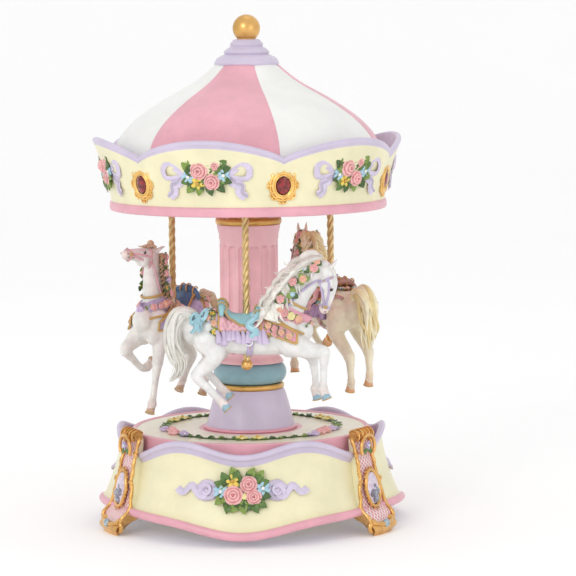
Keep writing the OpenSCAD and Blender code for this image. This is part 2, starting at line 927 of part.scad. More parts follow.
module crank_pinion(i) {
    color("khaki")
        radial(horse_phi + i * 120, crown_r - crown_face / 2 - 0.5, crank_z)
            linear_extrude(crown_face + 1.1)
                gear(
                    pinion_teeth, crown_mod, 0.85 * crown_mod, crown_add + 0.4, 0.4,
                    90 + 180 / pinion_teeth
                );
}

module crank_clip(i) {
    p = pin_spot(i);
    color("gray")
        radial(horse_phi + i * 120, clip_at, crank_z)
            translate([p[0], p[1], 0])
                difference() {
                    cylinder(clip_t, r = pin_r + 1.4, $fn = round_fn);
                    translate([0, 0, -1]) cylinder(clip_t + 2, r = pin_r, $fn = round_fn);
                }
}

// Local frame of a hanging horse: X the way it travels, -Y outwards, Z up from its middle
module ride(i) {
    p = pin_spot(i);
    at(horse_phi + i * 120, ride_r, crank_z + p[1] - hang) translate([p[0], 0, 0]) children();
}

ball_drop = 17.3;
ball_r = 3.5;

module pole(i) {
    color("darkgoldenrod")
        ride(i) {
            translate([0, 0, -ball_drop])
                cylinder(hang + ball_drop - pin_r - 1.2, r = pole_d / 2, $fn = round_fn);
            translate([0, eye_w / 2, hang])
                rotate([90, 0, 0])
                    difference() {
                        cylinder(eye_w, r = eye_r, $fn = round_fn);
                        translate([0, 0, -1])
                            cylinder(eye_w + 2, r = pin_r + run_fit, $fn = round_fn);
                    }
        }
}

module pole_ball(i) {
    color("gold")
        ride(i)
            difference() {
                translate([0, 0, -ball_drop]) sphere(ball_r, $fn = round_fn);
                translate([0, 0, -ball_drop]) cylinder(10, r = pole_d / 2, $fn = round_fn);
            }
}

// Each horse is a list of limbs, and each limb a chain of [forward, inward, up, radius]
trunk = [[29, 0, 1, 12.3], [2, 0, 0, 12], [-24, 0, 1.5, 12.6]];

horse_limbs = [
    // Front horse: neck arched and nose tucked, both forelegs up, hind legs driving back
    [
        trunk,
        [[22, 0, 11, 11], [29, 0, 26, 9.5], [40, 0, 35, 7.5], [46, 0, 39.5, 5.5]],
        [[15, 0, 17, 7], [18, 0, 29, 7.5], [26, 0, 37, 7], [38, 0, 40, 5.5]],
        [[46, 0, 39, 5.5], [50, 0, 31, 6], [47.5, 0, 20, 4.2], [46, 0, 16, 3.4]],
        [[47, -2.5, 42, 1.6], [51.5, -3.5, 47.6, 0.7]],
        [[47, 2.5, 42, 1.6], [51.5, 3.5, 47.6, 0.7]],
        [[26, -7, -7, 7], [45.5, -6, -10, 3.7], [45.5, -6, -26, 2.3], [46, -6, -34, 3]],
        [[26, 6, -7, 6.5], [38.5, 7, -13, 3.7], [40.8, 7, -29, 2.3], [40, 7, -36, 3]],
        [[-24, -6, -2, 9], [-17.3, -8, -10, 6.5], [-29.5, -7, -23, 3.6], [-15, -7, -39, 2.4],
            [-12, -7, -41, 3]],
        [[-24, 6, -2, 9], [-16, 8, -9, 6.5], [-27, 7, -20, 3.6], [-14, 7, -34, 2.4],
            [-11, 7, -36.5, 3]],
        [[-31, 0, 10, 4], [-41, -2, 11.5, 5.5], [-45, -3, 3, 6.5], [-43, -3, -7, 6.5],
            [-39, -3, -15, 5], [-41, -3, -22, 3.5], [-46, -3, -27, 2]],
        [[9, 0, 13, 5], [-2, 0, 10, 5.5], [-13, 0, 12.5, 6]]
    ],
    // Horse behind on the right, seen from its tail: head high, hind legs stretched back
    [
        trunk,
        [[22, 0, 10, 11], [29, 0, 26, 9], [32, 0, 38, 7.5], [34, 0, 43, 6]],
        [[14, 0, 18, 6.5], [20, 0, 32, 6.5], [26, 0, 42, 6]],
        [[34, 0, 43, 5.8], [42, 0, 36, 6], [47, 0, 26, 4.2], [48.5, 0, 22, 3.4]],
        [[32, -2.8, 46, 1.6], [33, -3.6, 51, 0.7]],
        [[32, 2.8, 46, 1.6], [33, 3.6, 51, 0.7]],
        [[26, -6, -7, 7], [41, -7, -14, 3.7], [28, -7, -24, 2.4], [20, -7, -23, 3]],
        [[26, 6, -7, 7], [37, 7, -19, 3.7], [36.5, 7, -34, 2.3], [36, 7, -39, 3]],
        [[-24, -6, -2, 9], [-20, -8, -12, 6.5], [-35, -7, -22, 3.6], [-36, -7, -37, 2.4],
            [-35, -7, -41, 3]],
        [[-24, 6, -2, 9], [-20, 8, -12, 6.5], [-36, 7, -25, 3.6], [-38, 7, -40, 2.4],
            [-37, 7, -43.5, 3]],
        [[-33, 0, 10, 4], [-41, 0, 14, 5], [-46, -1, 4, 6.5], [-46, -1, -8, 6.5],
            [-45, -1, -17, 4.5]],
        [[9, 0, 13, 5], [-2, 0, 10, 5.5], [-15, 0, 15, 7]]
    ],
    // Horse behind on the left: head thrown back, one foreleg folded, one planted
    [
        trunk,
        [[20, 0, 9, 11], [22, 0, 24, 8.5], [22, 0, 37, 6.8], [22, 0, 42, 6]],
        [[12, 0, 17, 5.5], [13, 0, 30, 5.5], [16, 0, 40, 5.5]],
        [[21, 0, 42, 6], [30, -1, 42, 6], [39, -3, 45, 4.4], [43, -4, 44, 3.8]],
        [[17, -3, 46, 1.6], [11.5, -3.8, 48, 0.7]],
        [[17, 3, 46, 1.6], [11.5, 3.8, 48, 0.7]],
        [[24, -6, -6, 7], [42, -7, -14, 3.7], [26, -7, -27, 2.4], [15, -7, -25, 3]],
        [[22, 6, -6, 7], [26, 6, -23, 3.7], [31, 6, -43, 2.3], [34, 6, -51, 3]],
        [[-24, -6, -2, 9], [-17, -8, -12, 6.5], [-30, -7, -25, 3.6], [-20, -7, -40, 2.4],
            [-17, -7, -44, 3]],
        [[-24, 6, -2, 9], [-17, 8, -12, 6.5], [-28, 7, -26, 3.6], [-24, 7, -42, 2.4],
            [-22, 7, -46, 3]],
        [[-32, 0, 9, 4], [-41, -2, 10, 5], [-44, -3, 2, 6], [-42, -3, -9, 6],
            [-38, -3, -18, 4]],
        [[9, 0, 13, 5], [-2, 0, 10, 5.5], [-17, 0, 17, 7.5]]
    ]
];

module capsule(a, b) {
    hull()
        for (p = [a, b]) translate([p[0], p[1], p[2]]) sphere(p[3], $fn = 12);
}

module horse(i) {
    limbs = horse_limbs[i];
    color("ivory")
        ride(i)
            union() {
                difference() {
                    union()
                        for (limb = limbs)
                            for (j = [0:len(limb) - 2]) capsule(limb[j], limb[j + 1]);
                    translate([0, 0, -40]) cylinder(80, r = pole_d / 2 + 0.1, $fn = 24);
                }
            }
}

base_shell();
deck_plate();
deck_garland();
corner_feet();
corner_stones();
base_bouquets();
bottom_cover();
cover_screws();
column_tube();
column_bell();
column_lower_ring();
column_torus();
column_shaft();
column_upper_ring();
crown_gear();
upper_bush();
lower_bush();
bedplate();
cylinder_bearings();
comb();
comb_screws();
movement_screws();
drive_shaft();
spring_barrel();
mainspring();
canopy_floor();
valance();
roof_plate();
canopy_posts();
canopy_roof();
roof_cap();
finial_ball();
medallion_frames();
medallion_gems();
valance_bouquets();
crank_bearings();
hub_nut();
crank_shaft(0);  // crank_shaft_1
crank_shaft(1);  // crank_shaft_2
crank_shaft(2);  // crank_shaft_3
crank_pinion(0);  // crank_pinion_1
crank_pinion(1);  // crank_pinion_2
crank_pinion(2);  // crank_pinion_3
crank_clip(0);  // crank_clip_1
crank_clip(1);  // crank_clip_2
crank_clip(2);  // crank_clip_3
pole(0);  // pole_1
pole(1);  // pole_2
pole(2);  // pole_3
pole_ball(0);  // pole_ball_1
pole_ball(1);  // pole_ball_2
pole_ball(2);  // pole_ball_3
horse(0);  // horse_1
horse(1);  // horse_2
horse(2);  // horse_3
music_cylinder();
cylinder_gears();
governor();
winding_key();
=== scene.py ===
"""Carousel music box: painted resin looks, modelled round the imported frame."""
import json
import math
import random

import bmesh
import bpy
from mathutils import Matrix, Vector
from mathutils.bvhtree import BVHTree


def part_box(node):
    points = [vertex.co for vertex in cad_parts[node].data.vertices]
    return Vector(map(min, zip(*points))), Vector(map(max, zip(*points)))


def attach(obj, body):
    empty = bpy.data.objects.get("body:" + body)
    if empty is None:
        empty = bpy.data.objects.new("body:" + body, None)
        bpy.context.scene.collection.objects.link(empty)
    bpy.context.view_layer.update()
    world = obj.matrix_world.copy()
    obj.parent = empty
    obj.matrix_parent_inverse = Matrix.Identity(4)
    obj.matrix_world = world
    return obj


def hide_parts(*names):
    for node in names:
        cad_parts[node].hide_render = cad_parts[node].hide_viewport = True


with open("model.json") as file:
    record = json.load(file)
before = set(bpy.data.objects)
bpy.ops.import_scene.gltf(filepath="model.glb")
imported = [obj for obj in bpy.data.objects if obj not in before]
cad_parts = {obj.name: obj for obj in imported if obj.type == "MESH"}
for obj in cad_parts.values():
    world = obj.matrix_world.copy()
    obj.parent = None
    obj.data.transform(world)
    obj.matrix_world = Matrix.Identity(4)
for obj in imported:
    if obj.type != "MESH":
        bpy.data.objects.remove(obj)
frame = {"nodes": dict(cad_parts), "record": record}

bl_info = {
    "name": "Carousel Music Box",
    "version": (1, 0, 0),
    "blender": (4, 5, 0),
    "location": "View3D > Sidebar > Carousel",
    "description": "Builds a carousel music box with three horses, piece by piece",
    "category": "Add Mesh",
}

MM = 0.001
FULL = 2 * math.pi
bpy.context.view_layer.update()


def low(node):
    """Lowest corner of a CAD node, in millimetres."""
    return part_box(node)[0] / MM


def high(node):
    """Highest corner of a CAD node, in millimetres."""
    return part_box(node)[1] / MM


def joint_place(name):
    """Place of a hinge at rest, in millimetres."""
    found = next(j for j in frame["record"]["behaviour"]["joints"] if j["name"] == name)
    return Vector(found["pos_m"]) / MM


def heading(v):
    """Direction of a point from the front, anticlockwise from above, in degrees."""
    return math.degrees(math.atan2(v.x, -v.y))


# Heights and radii that the CAD fixes, in millimetres
DECK_Z = low("column_bell").z
DECK_R = high("deck_plate").x
BELL_TOP = high("column_bell").z
LOWER_RING_TOP = high("column_lower_ring").z
TORUS_TOP = high("column_torus").z
SHAFT_TOP = high("column_shaft").z
COLUMN_TOP = high("column_upper_ring").z
COLUMN_BOTTOM_R = high("column_bell").x
CANOPY_Z = low("valance").z
EAVE_Z = low("canopy_roof").z
EAVE_R = high("canopy_roof").x
CAP_Z = high("canopy_roof").z
CAP_TOP = high("roof_cap").z
TOP_Z = high("finial_ball").z
RIDE_PHI = [heading(joint_place(f"crank_{k}_turn")) for k in (1, 2, 3)]
POLE_PLACE = [joint_place(f"horse_{k}_hang") for k in (1, 2, 3)]
BALL_R = 3.5
BALL_Z = [low(f"pole_ball_{k}").z + BALL_R for k in (1, 2, 3)]


# ---------- sizes and colours a user would change ----------


def colour(name, words, rgb):
    return bpy.props.FloatVectorProperty(
        name=name, description=words, subtype="COLOR", size=3, min=0, max=1, default=rgb
    )


def length(name, words, value):
    return bpy.props.FloatProperty(name=name, description=words, unit="LENGTH", default=value * MM)


def turn(name, words, degrees):
    return bpy.props.FloatProperty(
        name=name, description=words, subtype="ANGLE", default=math.radians(degrees)
    )


class PaintColours(bpy.types.PropertyGroup):
    cream: colour("Cream", "Walls of the base and canopy", (0.83, 0.78, 0.52))
    pink: colour("Pink", "Bands, deck edge and column", (0.77, 0.38, 0.45))
    lilac: colour("Lilac", "Rims, bell, cap and ribbons", (0.61, 0.54, 0.68))
    teal: colour("Teal", "Roll of the column", (0.27, 0.46, 0.52))
    gold: colour("Gold", "Antique gold paint", (0.62, 0.34, 0.09))


class BaseSizes(bpy.types.PropertyGroup):
    wall_top: length("Wall top", "Radius of the wall's top at mid-side", 81)
    wall_foot: length("Wall foot", "Radius of the wall's foot at mid-side", 93.5)
    corner_inset: length("Corner inset", "How far the wall draws in at the corners", 4.5)
    hump: turn("Hump", "Angle from mid-side to the rim's hump", 26)
    facing: turn("Facing", "Direction of the front side's middle", -3)


class CanopySizes(bpy.types.PropertyGroup):
    wall_rise: length("Wall rise", "Height of the wall at its low points", 34.6)
    scallop: length("Scallop", "Height of the scallops over the low points", 10.5)
    crease: length("Crease", "Depth of the creases between the gores", 0.7)
    facing: turn("Facing", "Direction of one low point of the scallops", 14.5)


class CarouselSettings(bpy.types.PropertyGroup):
    paint: bpy.props.PointerProperty(type=PaintColours, name="Paint", description="Colours")
    base: bpy.props.PointerProperty(type=BaseSizes, name="Base", description="Base sizes")
    canopy: bpy.props.PointerProperty(type=CanopySizes, name="Canopy", description="Canopy sizes")


def settings():
    return bpy.context.scene.carousel


# ---------- materials ----------

MADE = {}
GLOW_REACH = (0.004, 0.002, 0.0015)


def made_once(make):
    """Keeps each material by its name, so that it is made only once."""

    def kept(name, *looks, **more):
        if name not in MADE:
            MADE[name] = make(name, *looks, **more)
        return MADE[name]

    return kept


def constants(shader, **values):
    """Sets sockets of a shader by their names, with _ in place of each space."""
    for key, value in values.items():
        shader.inputs[key.replace("_", " ")].default_value = value


def shader_tree(name):
    m = bpy.data.materials.new(name)
    m.use_nodes = True
    return m, m.node_tree, m.node_tree.nodes["Principled BSDF"]


def add(tree, kind, **values):
    n = tree.nodes.new(kind)
    for key, value in values.items():
        if key in n.inputs:
            n.inputs[key].default_value = value
        else:
            setattr(n, key, value)
    return n


def noise(tree, scale, detail=4.0, rough=0.6):
    at = add(tree, "ShaderNodeTexCoord")
    n = add(tree, "ShaderNodeTexNoise", Scale=scale, Detail=detail, Roughness=rough)
    tree.links.new(at.outputs["Object"], n.inputs["Vector"])
    return n.outputs["Fac"]


def stretched(tree, value, low_in, high_in, low_out, high_out):
    n = add(tree, "ShaderNodeMapRange")
    n.inputs["From Min"].default_value = low_in
    n.inputs["From Max"].default_value = high_in
    n.inputs["To Min"].default_value = low_out
    n.inputs["To Max"].default_value = high_out
    tree.links.new(value, n.inputs["Value"])
    return n.outputs["Result"]


def mix(tree, share, a, b, blend="MIX"):
    n = add(tree, "ShaderNodeMix", data_type="RGBA", blend_type=blend)
    for socket, value in ((n.inputs[0], share), (n.inputs[6], a), (n.inputs[7], b)):
        if hasattr(value, "links"):
            tree.links.new(value, socket)
        elif isinstance(value, float):
            socket.default_value = value
        else:
            socket.default_value = (*value, 1)
    return n.outputs[2]


def hollow_shade_mask(tree, sharp=0.5):
    """0 in hollows and 1 on ridges, from the mesh's own curvature: the mask for painted shade in the hollows.
    """
    n = add(tree, "ShaderNodeNewGeometry")
    width = 0.06 / max(sharp, 0.05)
    return stretched(tree, n.outputs["Pointiness"], 0.5 - width, 0.5 + width, 0.0, 1.0)


def bumped(tree, shader, height, strength, distance=0.0004):
    b = add(tree, "ShaderNodeBump", Strength=strength, Distance=distance)
    tree.links.new(height, b.inputs["Height"])
    tree.links.new(b.outputs["Normal"], shader.inputs["Normal"])


@made_once
def resin(name, base, shade_colour=None, rough=0.42, mottle=0.10, coat=0.25, grain=900.0, glow=0.06):
    """Hand-painted cast resin: soft mottling, painted shade that darkens the hollows, a satin coat."""
    m, tree, shader = shader_tree(name)
    shade_colour = shade_colour or tuple(c * 0.55 for c in base)
    light = tuple(min(1, c * (1 + mottle)) for c in base)
    dark = tuple(c * (1 - mottle) for c in base)
    broad = mix(tree, stretched(tree, noise(tree, 45.0), 0.35, 0.65, 0, 1), dark, light)
    # Painted shade: the hollows are mixed towards the darker shade colour.
    hollow = stretched(tree, hollow_shade_mask(tree), 0.0, 0.45, 0.55, 0.0)
    tree.links.new(mix(tree, hollow, broad, shade_colour), shader.inputs["Base Color"])
    fine = noise(tree, grain, 3.0)
    tree.links.new(stretched(tree, fine, 0.3, 0.7, rough - 0.06, rough + 0.08), shader.inputs["Roughness"])
    bumped(tree, shader, noise(tree, grain * 0.45, 2.0), 0.12)
    constants(
        shader, Coat_Weight=coat, Coat_Roughness=0.22, Subsurface_Weight=glow, Subsurface_Radius=GLOW_REACH
    )
    return m


@made_once
def gilt(name, base, shade_colour=(0.16, 0.06, 0.012), rough=0.26, metal=0.8, grain=90.0):
    """Metallic gold paint in broad brighter patches, with brown painted shade in the hollows."""
    m, tree, shader = shader_tree(name)
    bright = tuple(min(1, c * 1.35 + 0.05) for c in base)
    patch = mix(tree, stretched(tree, noise(tree, grain), 0.35, 0.65, 0, 1), base, bright)
    # Painted shade: the hollows are mixed towards the brown shade colour.
    hollow = stretched(tree, hollow_shade_mask(tree, 0.7), 0.0, 0.5, 0.75, 0.0)
    tree.links.new(mix(tree, hollow, patch, shade_colour), shader.inputs["Base Color"])
    tree.links.new(
        stretched(tree, noise(tree, grain * 3), 0.3, 0.7, rough - 0.08, rough + 0.12),
        shader.inputs["Roughness"],
    )
    constants(shader, Metallic=metal, Coat_Weight=0.3, Coat_Roughness=0.15)
    bumped(tree, shader, noise(tree, grain * 2.2), 0.07)
    return m


@made_once
def steel(name, base, rough=0.28, metal=1.0, streak=1400.0):
    """Machined metal with fine turning marks."""
    m, tree, shader = shader_tree(name)
    marks = noise(tree, streak, 2.0)
    low_c, high_c = tuple(c * 0.85 for c in base), tuple(min(1, c * 1.12) for c in base)
    tree.links.new(
        mix(tree, stretched(tree, noise(tree, 120.0), 0.3, 0.7, 0, 1), low_c, high_c),
        shader.inputs["Base Color"],
    )
    tree.links.new(stretched(tree, marks, 0.3, 0.7, rough - 0.08, rough + 0.12), shader.inputs["Roughness"])
    constants(shader, Metallic=metal)
    bumped(tree, shader, marks, 0.08)
    return m


@made_once
def gemstone(name, base, inner):
    """A foil-backed facetted stone with a hard gloss, whose colour holds painted light: dark depths and
    bright patches of painted reflection.
    """
    m, tree, shader = shader_tree(name)
    at = add(tree, "ShaderNodeTexCoord")
    cells = add(tree, "ShaderNodeTexVoronoi", Scale=420.0)
    tree.links.new(at.outputs["Object"], cells.inputs["Vector"])
    # Painted reflections: bright patches round scattered points, fading into the dark colour of the depths.
    share = stretched(tree, cells.outputs["Distance"], 0.0, 0.8, 0.0, 1.0)
    tree.links.new(mix(tree, share, inner, base), shader.inputs["Base Color"])
    constants(shader, Metallic=0.35, Roughness=0.08, Coat_Weight=1.0, Coat_Roughness=0.03)
    return m


@made_once
def tinted(name, rough=0.42, coat=0.25, shade_depth=0.55, glow=0.05):
    """Painted resin whose colour each vertex carries, with the same painted shade in its hollows."""
    m, tree, shader = shader_tree(name)
    own = add(tree, "ShaderNodeAttribute", attribute_name="tint")
    vary = stretched(tree, noise(tree, 160.0), 0.3, 0.7, 0.86, 1.1)
    grey = add(tree, "ShaderNodeCombineColor")
    for k in range(3):
        tree.links.new(vary, grey.inputs[k])
    painted = mix(tree, 1.0, own.outputs["Color"], grey.outputs[0], "MULTIPLY")
    # Painted shade: a darker copy of the vertex colour, mixed in where the mesh is hollow.
    shade = mix(tree, 1.0, painted, (shade_depth, shade_depth * 0.92, shade_depth * 0.85), "MULTIPLY")
    hollow = stretched(tree, hollow_shade_mask(tree, 0.8), 0.0, 0.5, 0.85, 0.0)
    tree.links.new(mix(tree, hollow, painted, shade), shader.inputs["Base Color"])
    tree.links.new(
        stretched(tree, noise(tree, 900.0), 0.3, 0.7, rough - 0.06, rough + 0.1),
        shader.inputs["Roughness"],
    )
    bumped(tree, shader, noise(tree, 700.0, 2.0), 0.1)
    constants(
        shader, Coat_Weight=coat, Coat_Roughness=0.25, Subsurface_Weight=glow, Subsurface_Radius=GLOW_REACH
    )
    return m


# The second colour given to each resin paint is its painted shade in the hollows.
def cream_paint():
    return resin("cream_paint", tuple(settings().paint.cream), (0.62, 0.52, 0.25), mottle=0.05)


def pink_paint():
    return resin("pink_paint", tuple(settings().paint.pink), (0.55, 0.2, 0.24), mottle=0.07)


def shaft_paint():
    # A paler copy of the pink, as painted light on the shaft, which the canopy shades.
    lit_pink = tuple(min(1, c * share) for c, share in zip(settings().paint.pink, (1.17, 1.45, 1.3)))
    return resin("shaft_paint", lit_pink, (0.66, 0.28, 0.32), mottle=0.07)


def lilac_paint():
    return resin("lilac_paint", tuple(settings().paint.lilac), (0.34, 0.26, 0.4), mottle=0.06)


def teal_paint():
    return resin("teal_paint", tuple(settings().paint.teal), (0.1, 0.22, 0.26), mottle=0.14)


def white_paint():
    return resin("white_paint", (0.83, 0.83, 0.8), (0.5, 0.5, 0.48), mottle=0.03)


def gold_paint():
    return gilt("gold_paint", tuple(settings().paint.gold))


# ---------- mesh helpers, all in millimetres ----------


def polar(phi, r, z=0.0):
    """Point at direction phi, in degrees from the front and anticlockwise."""
    a = math.radians(phi)
    return Vector((r * math.sin(a), -r * math.cos(a), z))


def at(phi, r=0.0, z=0.0):
    """Frame on the circle of radius r: X along the travel, -Y outwards, Z up."""
    return turned(phi) @ Matrix.Translation((0, -r, z))


def outward(phi, r=0.0, z=0.0, tilt=0.0):
    """Frame facing outwards: X along the travel, Y up and Z outwards."""
    return at(phi, r, z) @ turned(90 + tilt, "X")


def turned(degrees, axis="Z"):
    return Matrix.Rotation(math.radians(degrees), 4, axis)


def ease(t):
    """Smooth step from 0 to 1."""
    t = min(max(t, 0.0), 1.0)
    return (1 - math.cos(math.pi * t)) / 2


def off_middle(a, step):
    """Angle from the nearest middle of a shape that repeats every step."""
    return abs((a + step / 2) % step - step / 2)


def between(keys, x):
    """Value between neighbouring (position, value) keys, eased."""
    if x <= keys[0][0]:
        return keys[0][1]
    for (x0, y0), (x1, y1) in zip(keys, keys[1:]):
        if x <= x1:
            return y0 + (y1 - y0) * ease((x - x0) / (x1 - x0))
    return keys[-1][1]


def curve_point(points, t):
    """Point on the smooth curve through the points, each a list of any numbers."""
    n = len(points) - 1
    s = min(max(t, 0.0), 1.0) * n
    i = min(int(s), n - 1)
    u = s - i
    p = [points[min(max(k, 0), n)] for k in (i - 1, i, i + 1, i + 2)]
    return [
        0.5 * (2 * b + (c - a) * u + (2 * a - 5 * b + 4 * c - d) * u * u + (3 * b - a - 3 * c + d) * u ** 3)
        for a, b, c, d in zip(*p)
    ]


def smooth_path(points, steps):
    return [curve_point(points, i / steps) for i in range(steps + 1)]


def piece(bm, name, materials, body, replaced=(), sharp=35.0, outside=True):
    """Turns a bmesh in millimetres into a finished piece that rides on a body."""
    if outside:
        bmesh.ops.recalc_face_normals(bm, faces=bm.faces)
    bmesh.ops.scale(bm, vec=(MM, MM, MM), verts=bm.verts)
    mesh = bpy.data.meshes.new(name)
    bm.to_mesh(mesh)
    bm.free()
    for m in materials:
        mesh.materials.append(m)
    mesh.shade_smooth()
    mesh.set_sharp_from_angle(angle=math.radians(sharp))
    made = bpy.data.objects.new(name, mesh)
    bpy.context.collection.objects.link(made)
    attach(made, body)
    if replaced:
        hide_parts(*replaced)
    return made


def outline(bm, points, closed=False):
    """Edges through (radius, height) points in the plane of the front, for a spin."""
    verts = [bm.verts.new((0, -r, z)) for r, z in points]
    pairs = list(zip(verts, verts[1:]))
    if closed:
        pairs.append((verts[-1], verts[0]))
    return verts, [bm.edges.new(p) for p in pairs]


def spun(bm, points, steps, closed=False):
    """Full turn of an outline about the axis. Returns the new geometry's vertices."""
    layer = bm.verts.layers.int.get("row") or bm.verts.layers.int.new("row")
    before = set(bm.verts)
    verts, edges = outline(bm, points, closed)
    for k, v in enumerate(verts):
        v[layer] = k
    bmesh.ops.spin(
        bm, geom=verts + edges, cent=(0, 0, 0), axis=(0, 0, 1), dvec=(0, 0, 0),
        angle=FULL, steps=steps, use_merge=True, use_duplicate=False,
    )
    fresh = [v for v in bm.verts if v not in before]
    onaxis = [v for v in fresh if math.hypot(v.co.x, v.co.y) < 1e-5]
    bmesh.ops.remove_doubles(bm, verts=onaxis, dist=1e-4)
    return [v for v in bm.verts if v not in before]


def rounded(points, steps=5):
    """A finer outline through the same (radius, height) points."""
    n = (len(points) - 1) * steps
    return [tuple(p) for p in smooth_path(points, n)]


def merge_in(bm, small, place=None):
    """Adds a small mesh to a large one, which is far quicker than building inside the large one."""
    scratch = bpy.data.meshes.new("scratch")
    small.to_mesh(scratch)
    small.free()
    if place:
        scratch.transform(place)
    bm.from_mesh(scratch)
    bpy.data.meshes.remove(scratch)


def tube(
    bm, path, radius, sides=8, flat=1.0, up=None, material=0, tint=None, side_axis=None, normals=None
):
    """Sweeps a round or oval section along a path and closes both ends. Radius is a function of 0..1.

    The section is flat times as thick across its side direction. That direction follows side_axis or the
    normals where they are given, and otherwise turns as little as it can along the path.
    """
    small = bmesh.new()
    layer = small.verts.layers.float_color.new("tint") if tint else None
    pts = [Vector(p[:3]) for p in path]
    n = len(pts) - 1
    side = None
    first = bmesh.ops.create_circle(small, segments=sides, radius=1.0)["verts"]
    angles = [math.atan2(v.co.y, v.co.x) for v in first]
    loop = list({e for v in first for e in v.link_edges})
    rings = [(first, loop)]
    for _ in range(n):
        grown = bmesh.ops.extrude_edge_only(small, edges=rings[-1][1])["geom"]
        fresh = {g for g in grown if isinstance(g, bmesh.types.BMVert)}
        partner = []
        for v in rings[-1][0]:
            partner.append(next(e.other_vert(v) for e in v.link_edges if e.other_vert(v) in fresh))
        edges = [g for g in grown if isinstance(g, bmesh.types.BMEdge) and all(v in fresh for v in g.verts)]
        rings.append((partner, edges))
    for i, (p, (ring, _)) in enumerate(zip(pts, rings)):
        t = i / n
        ahead = (pts[min(i + 1, n)] - pts[max(i - 1, 0)]).normalized()
        if normals:
            over = normals(t)
            side = ahead.cross(over).normalized()
        elif side_axis:
            over = Vector(side_axis)
            side = ahead.cross(over).normalized()
        elif side is None:
            hint = Vector(up) if up else Vector((0, 0, 1))
            if abs(ahead.dot(hint)) > 0.95:
                hint = Vector((0, 1, 0))
            side = ahead.cross(hint).normalized()
        side = (side - ahead * side.dot(ahead)).normalized()
        over = side.cross(ahead)
        r = max(radius(t), 0.02)
        for v, a in zip(ring, angles):
            v.co = p + (side * math.cos(a) + over * math.sin(a) * flat) * r
            if layer:
                v[layer] = (*tint(t), 1)
    for ring, edges in (rings[0], rings[-1]):
        bmesh.ops.contextual_create(small, geom=edges)
    for f in small.faces:
        f.material_index = material
    merge_in(bm, small)


def ball(bm, centre, radius, squash=(1, 1, 1), matrix=None, detail=(12, 8), material=0, tint=None):
    """Adds a squashed sphere, in a frame of its own where a matrix is given."""
    place = (matrix or Matrix.Identity(4)) @ Matrix.Translation(centre) @ Matrix.Diagonal((*squash, 1))
    small = tinted_mesh() if tint else bmesh.new()
    made = bmesh.ops.create_uvsphere(
        small, u_segments=detail[0], v_segments=detail[1], radius=radius, matrix=place
    )["verts"]
    paint(small, made, material, tint)
    merge_in(bm, small)


def paint(bm, verts, material=0, tint=None):
    """Gives new geometry its material and colour."""
    for f in {f for v in verts for f in v.link_faces}:
        f.material_index = material
    layer = bm.verts.layers.float_color.get("tint")
    if layer and tint:
        for v in verts:
            v[layer] = (*tint, 1)


def tinted_mesh():
    """A mesh whose vertices carry their colour."""
    bm = bmesh.new()
    bm.verts.layers.float_color.new("tint")
    return bm


# ---------- flowers, leaves and ribbons ----------

ROSE_PINK = ((0.62, 0.2, 0.22), (0.86, 0.48, 0.47))
ROSE_PEACH = ((0.66, 0.26, 0.16), (0.88, 0.54, 0.4))
ROSE_YELLOW = ((0.82, 0.72, 0.2), (0.97, 0.9, 0.5))
ROSE_MAUVE = ((0.45, 0.32, 0.55), (0.68, 0.55, 0.76))
BLUE = (0.4, 0.62, 0.74)
YELLOW = (0.85, 0.62, 0.1)
WHITE = (0.85, 0.85, 0.82)
GREENS = ((0.09, 0.18, 0.03), (0.2, 0.3, 0.05), (0.05, 0.11, 0.02))


def arc(centre_r, start, sweep, rise, steps=6):
    """Points of a petal's lip: an arc round local Z that lifts in its middle."""
    pts = []
    for i in range(steps + 1):
        a = math.radians(start + sweep * i / steps)
        lift = rise * (0.75 + 0.25 * math.sin(math.pi * i / steps))
        pts.append(Vector((centre_r * math.cos(a), centre_r * math.sin(a), lift)))
    return pts


def rose(bm, shades):
    """A carved rose of radius 1: a dome with three rounds of overlapping petal lips."""
    deep, pale = shades
    ball(bm, (0, 0, 0), 0.86, (1, 1, 0.62), detail=(12, 7), tint=deep)
    rounds = ((0.8, 5, 92, 0.12, 0.2), (0.52, 4, 120, 0.42, 0.17), (0.25, 3, 160, 0.6, 0.13))
    for n, (share, count, sweep, rise, thick) in enumerate(rounds):
        for k in range(count):
            tube(
                bm, arc(share, n * 40 + k * 360 / count, sweep, rise),
                lambda t: thick * (0.35 + 0.65 * math.sin(math.pi * t) ** 0.6),
                sides=6, flat=1.3, up=(0, 0, 1), tint=lambda t: pale,
            )
    ball(bm, (0, 0, 0.62), 0.14, detail=(8, 5), tint=deep)


def leaf(bm, wide, tint):
    """A pointed leaf of length 1 with a folded middle."""
    small = tinted_mesh()
    made = bmesh.ops.create_uvsphere(small, u_segments=10, v_segments=6, radius=1)["verts"]
    for v in made:
        x, y, z = v.co
        slim = max(0.04, 1 - abs(x) ** 2.2)
        v.co = ((x + 1) / 2, wide * y * slim, 0.1 * z + 0.16 * abs(y) * slim - 0.1 * x * x)
    paint(small, made, tint=tint)
    merge_in(bm, small)


def daisy(bm, tint, heart, petals):
    """A flat flower of radius 1 with separate petals round its heart."""
    for k in range(petals):
        spot = Matrix.Rotation(FULL * k / petals, 4, "Z") @ Matrix.Translation((0.58, 0, 0.12))
        ball(bm, (0, 0, 0), 0.45, (1, 0.72, 0.4), spot, (8, 5), tint=tint)
    ball(bm, (0, 0, 0.3), 0.26, (1, 1, 0.8), detail=(8, 5), tint=heart)


def ribbon(bm, place, points, width, tint, steps=24, thick=0.16, up=(0, 0, 1), ends=1.0):
    """A flat band along a smooth path, with its width across the path in the local plane."""
    path = [place @ Vector(p) for p in smooth_path(points, steps)]
    tube(
        bm, path,
        lambda t: width / 2 * (1 if ends >= 1 else ends + (1 - ends) * math.sin(math.pi * t) ** 0.5),
        sides=8, flat=thick / (width / 6), up=place.to_3x3() @ Vector(up), tint=lambda t: tint,
    )


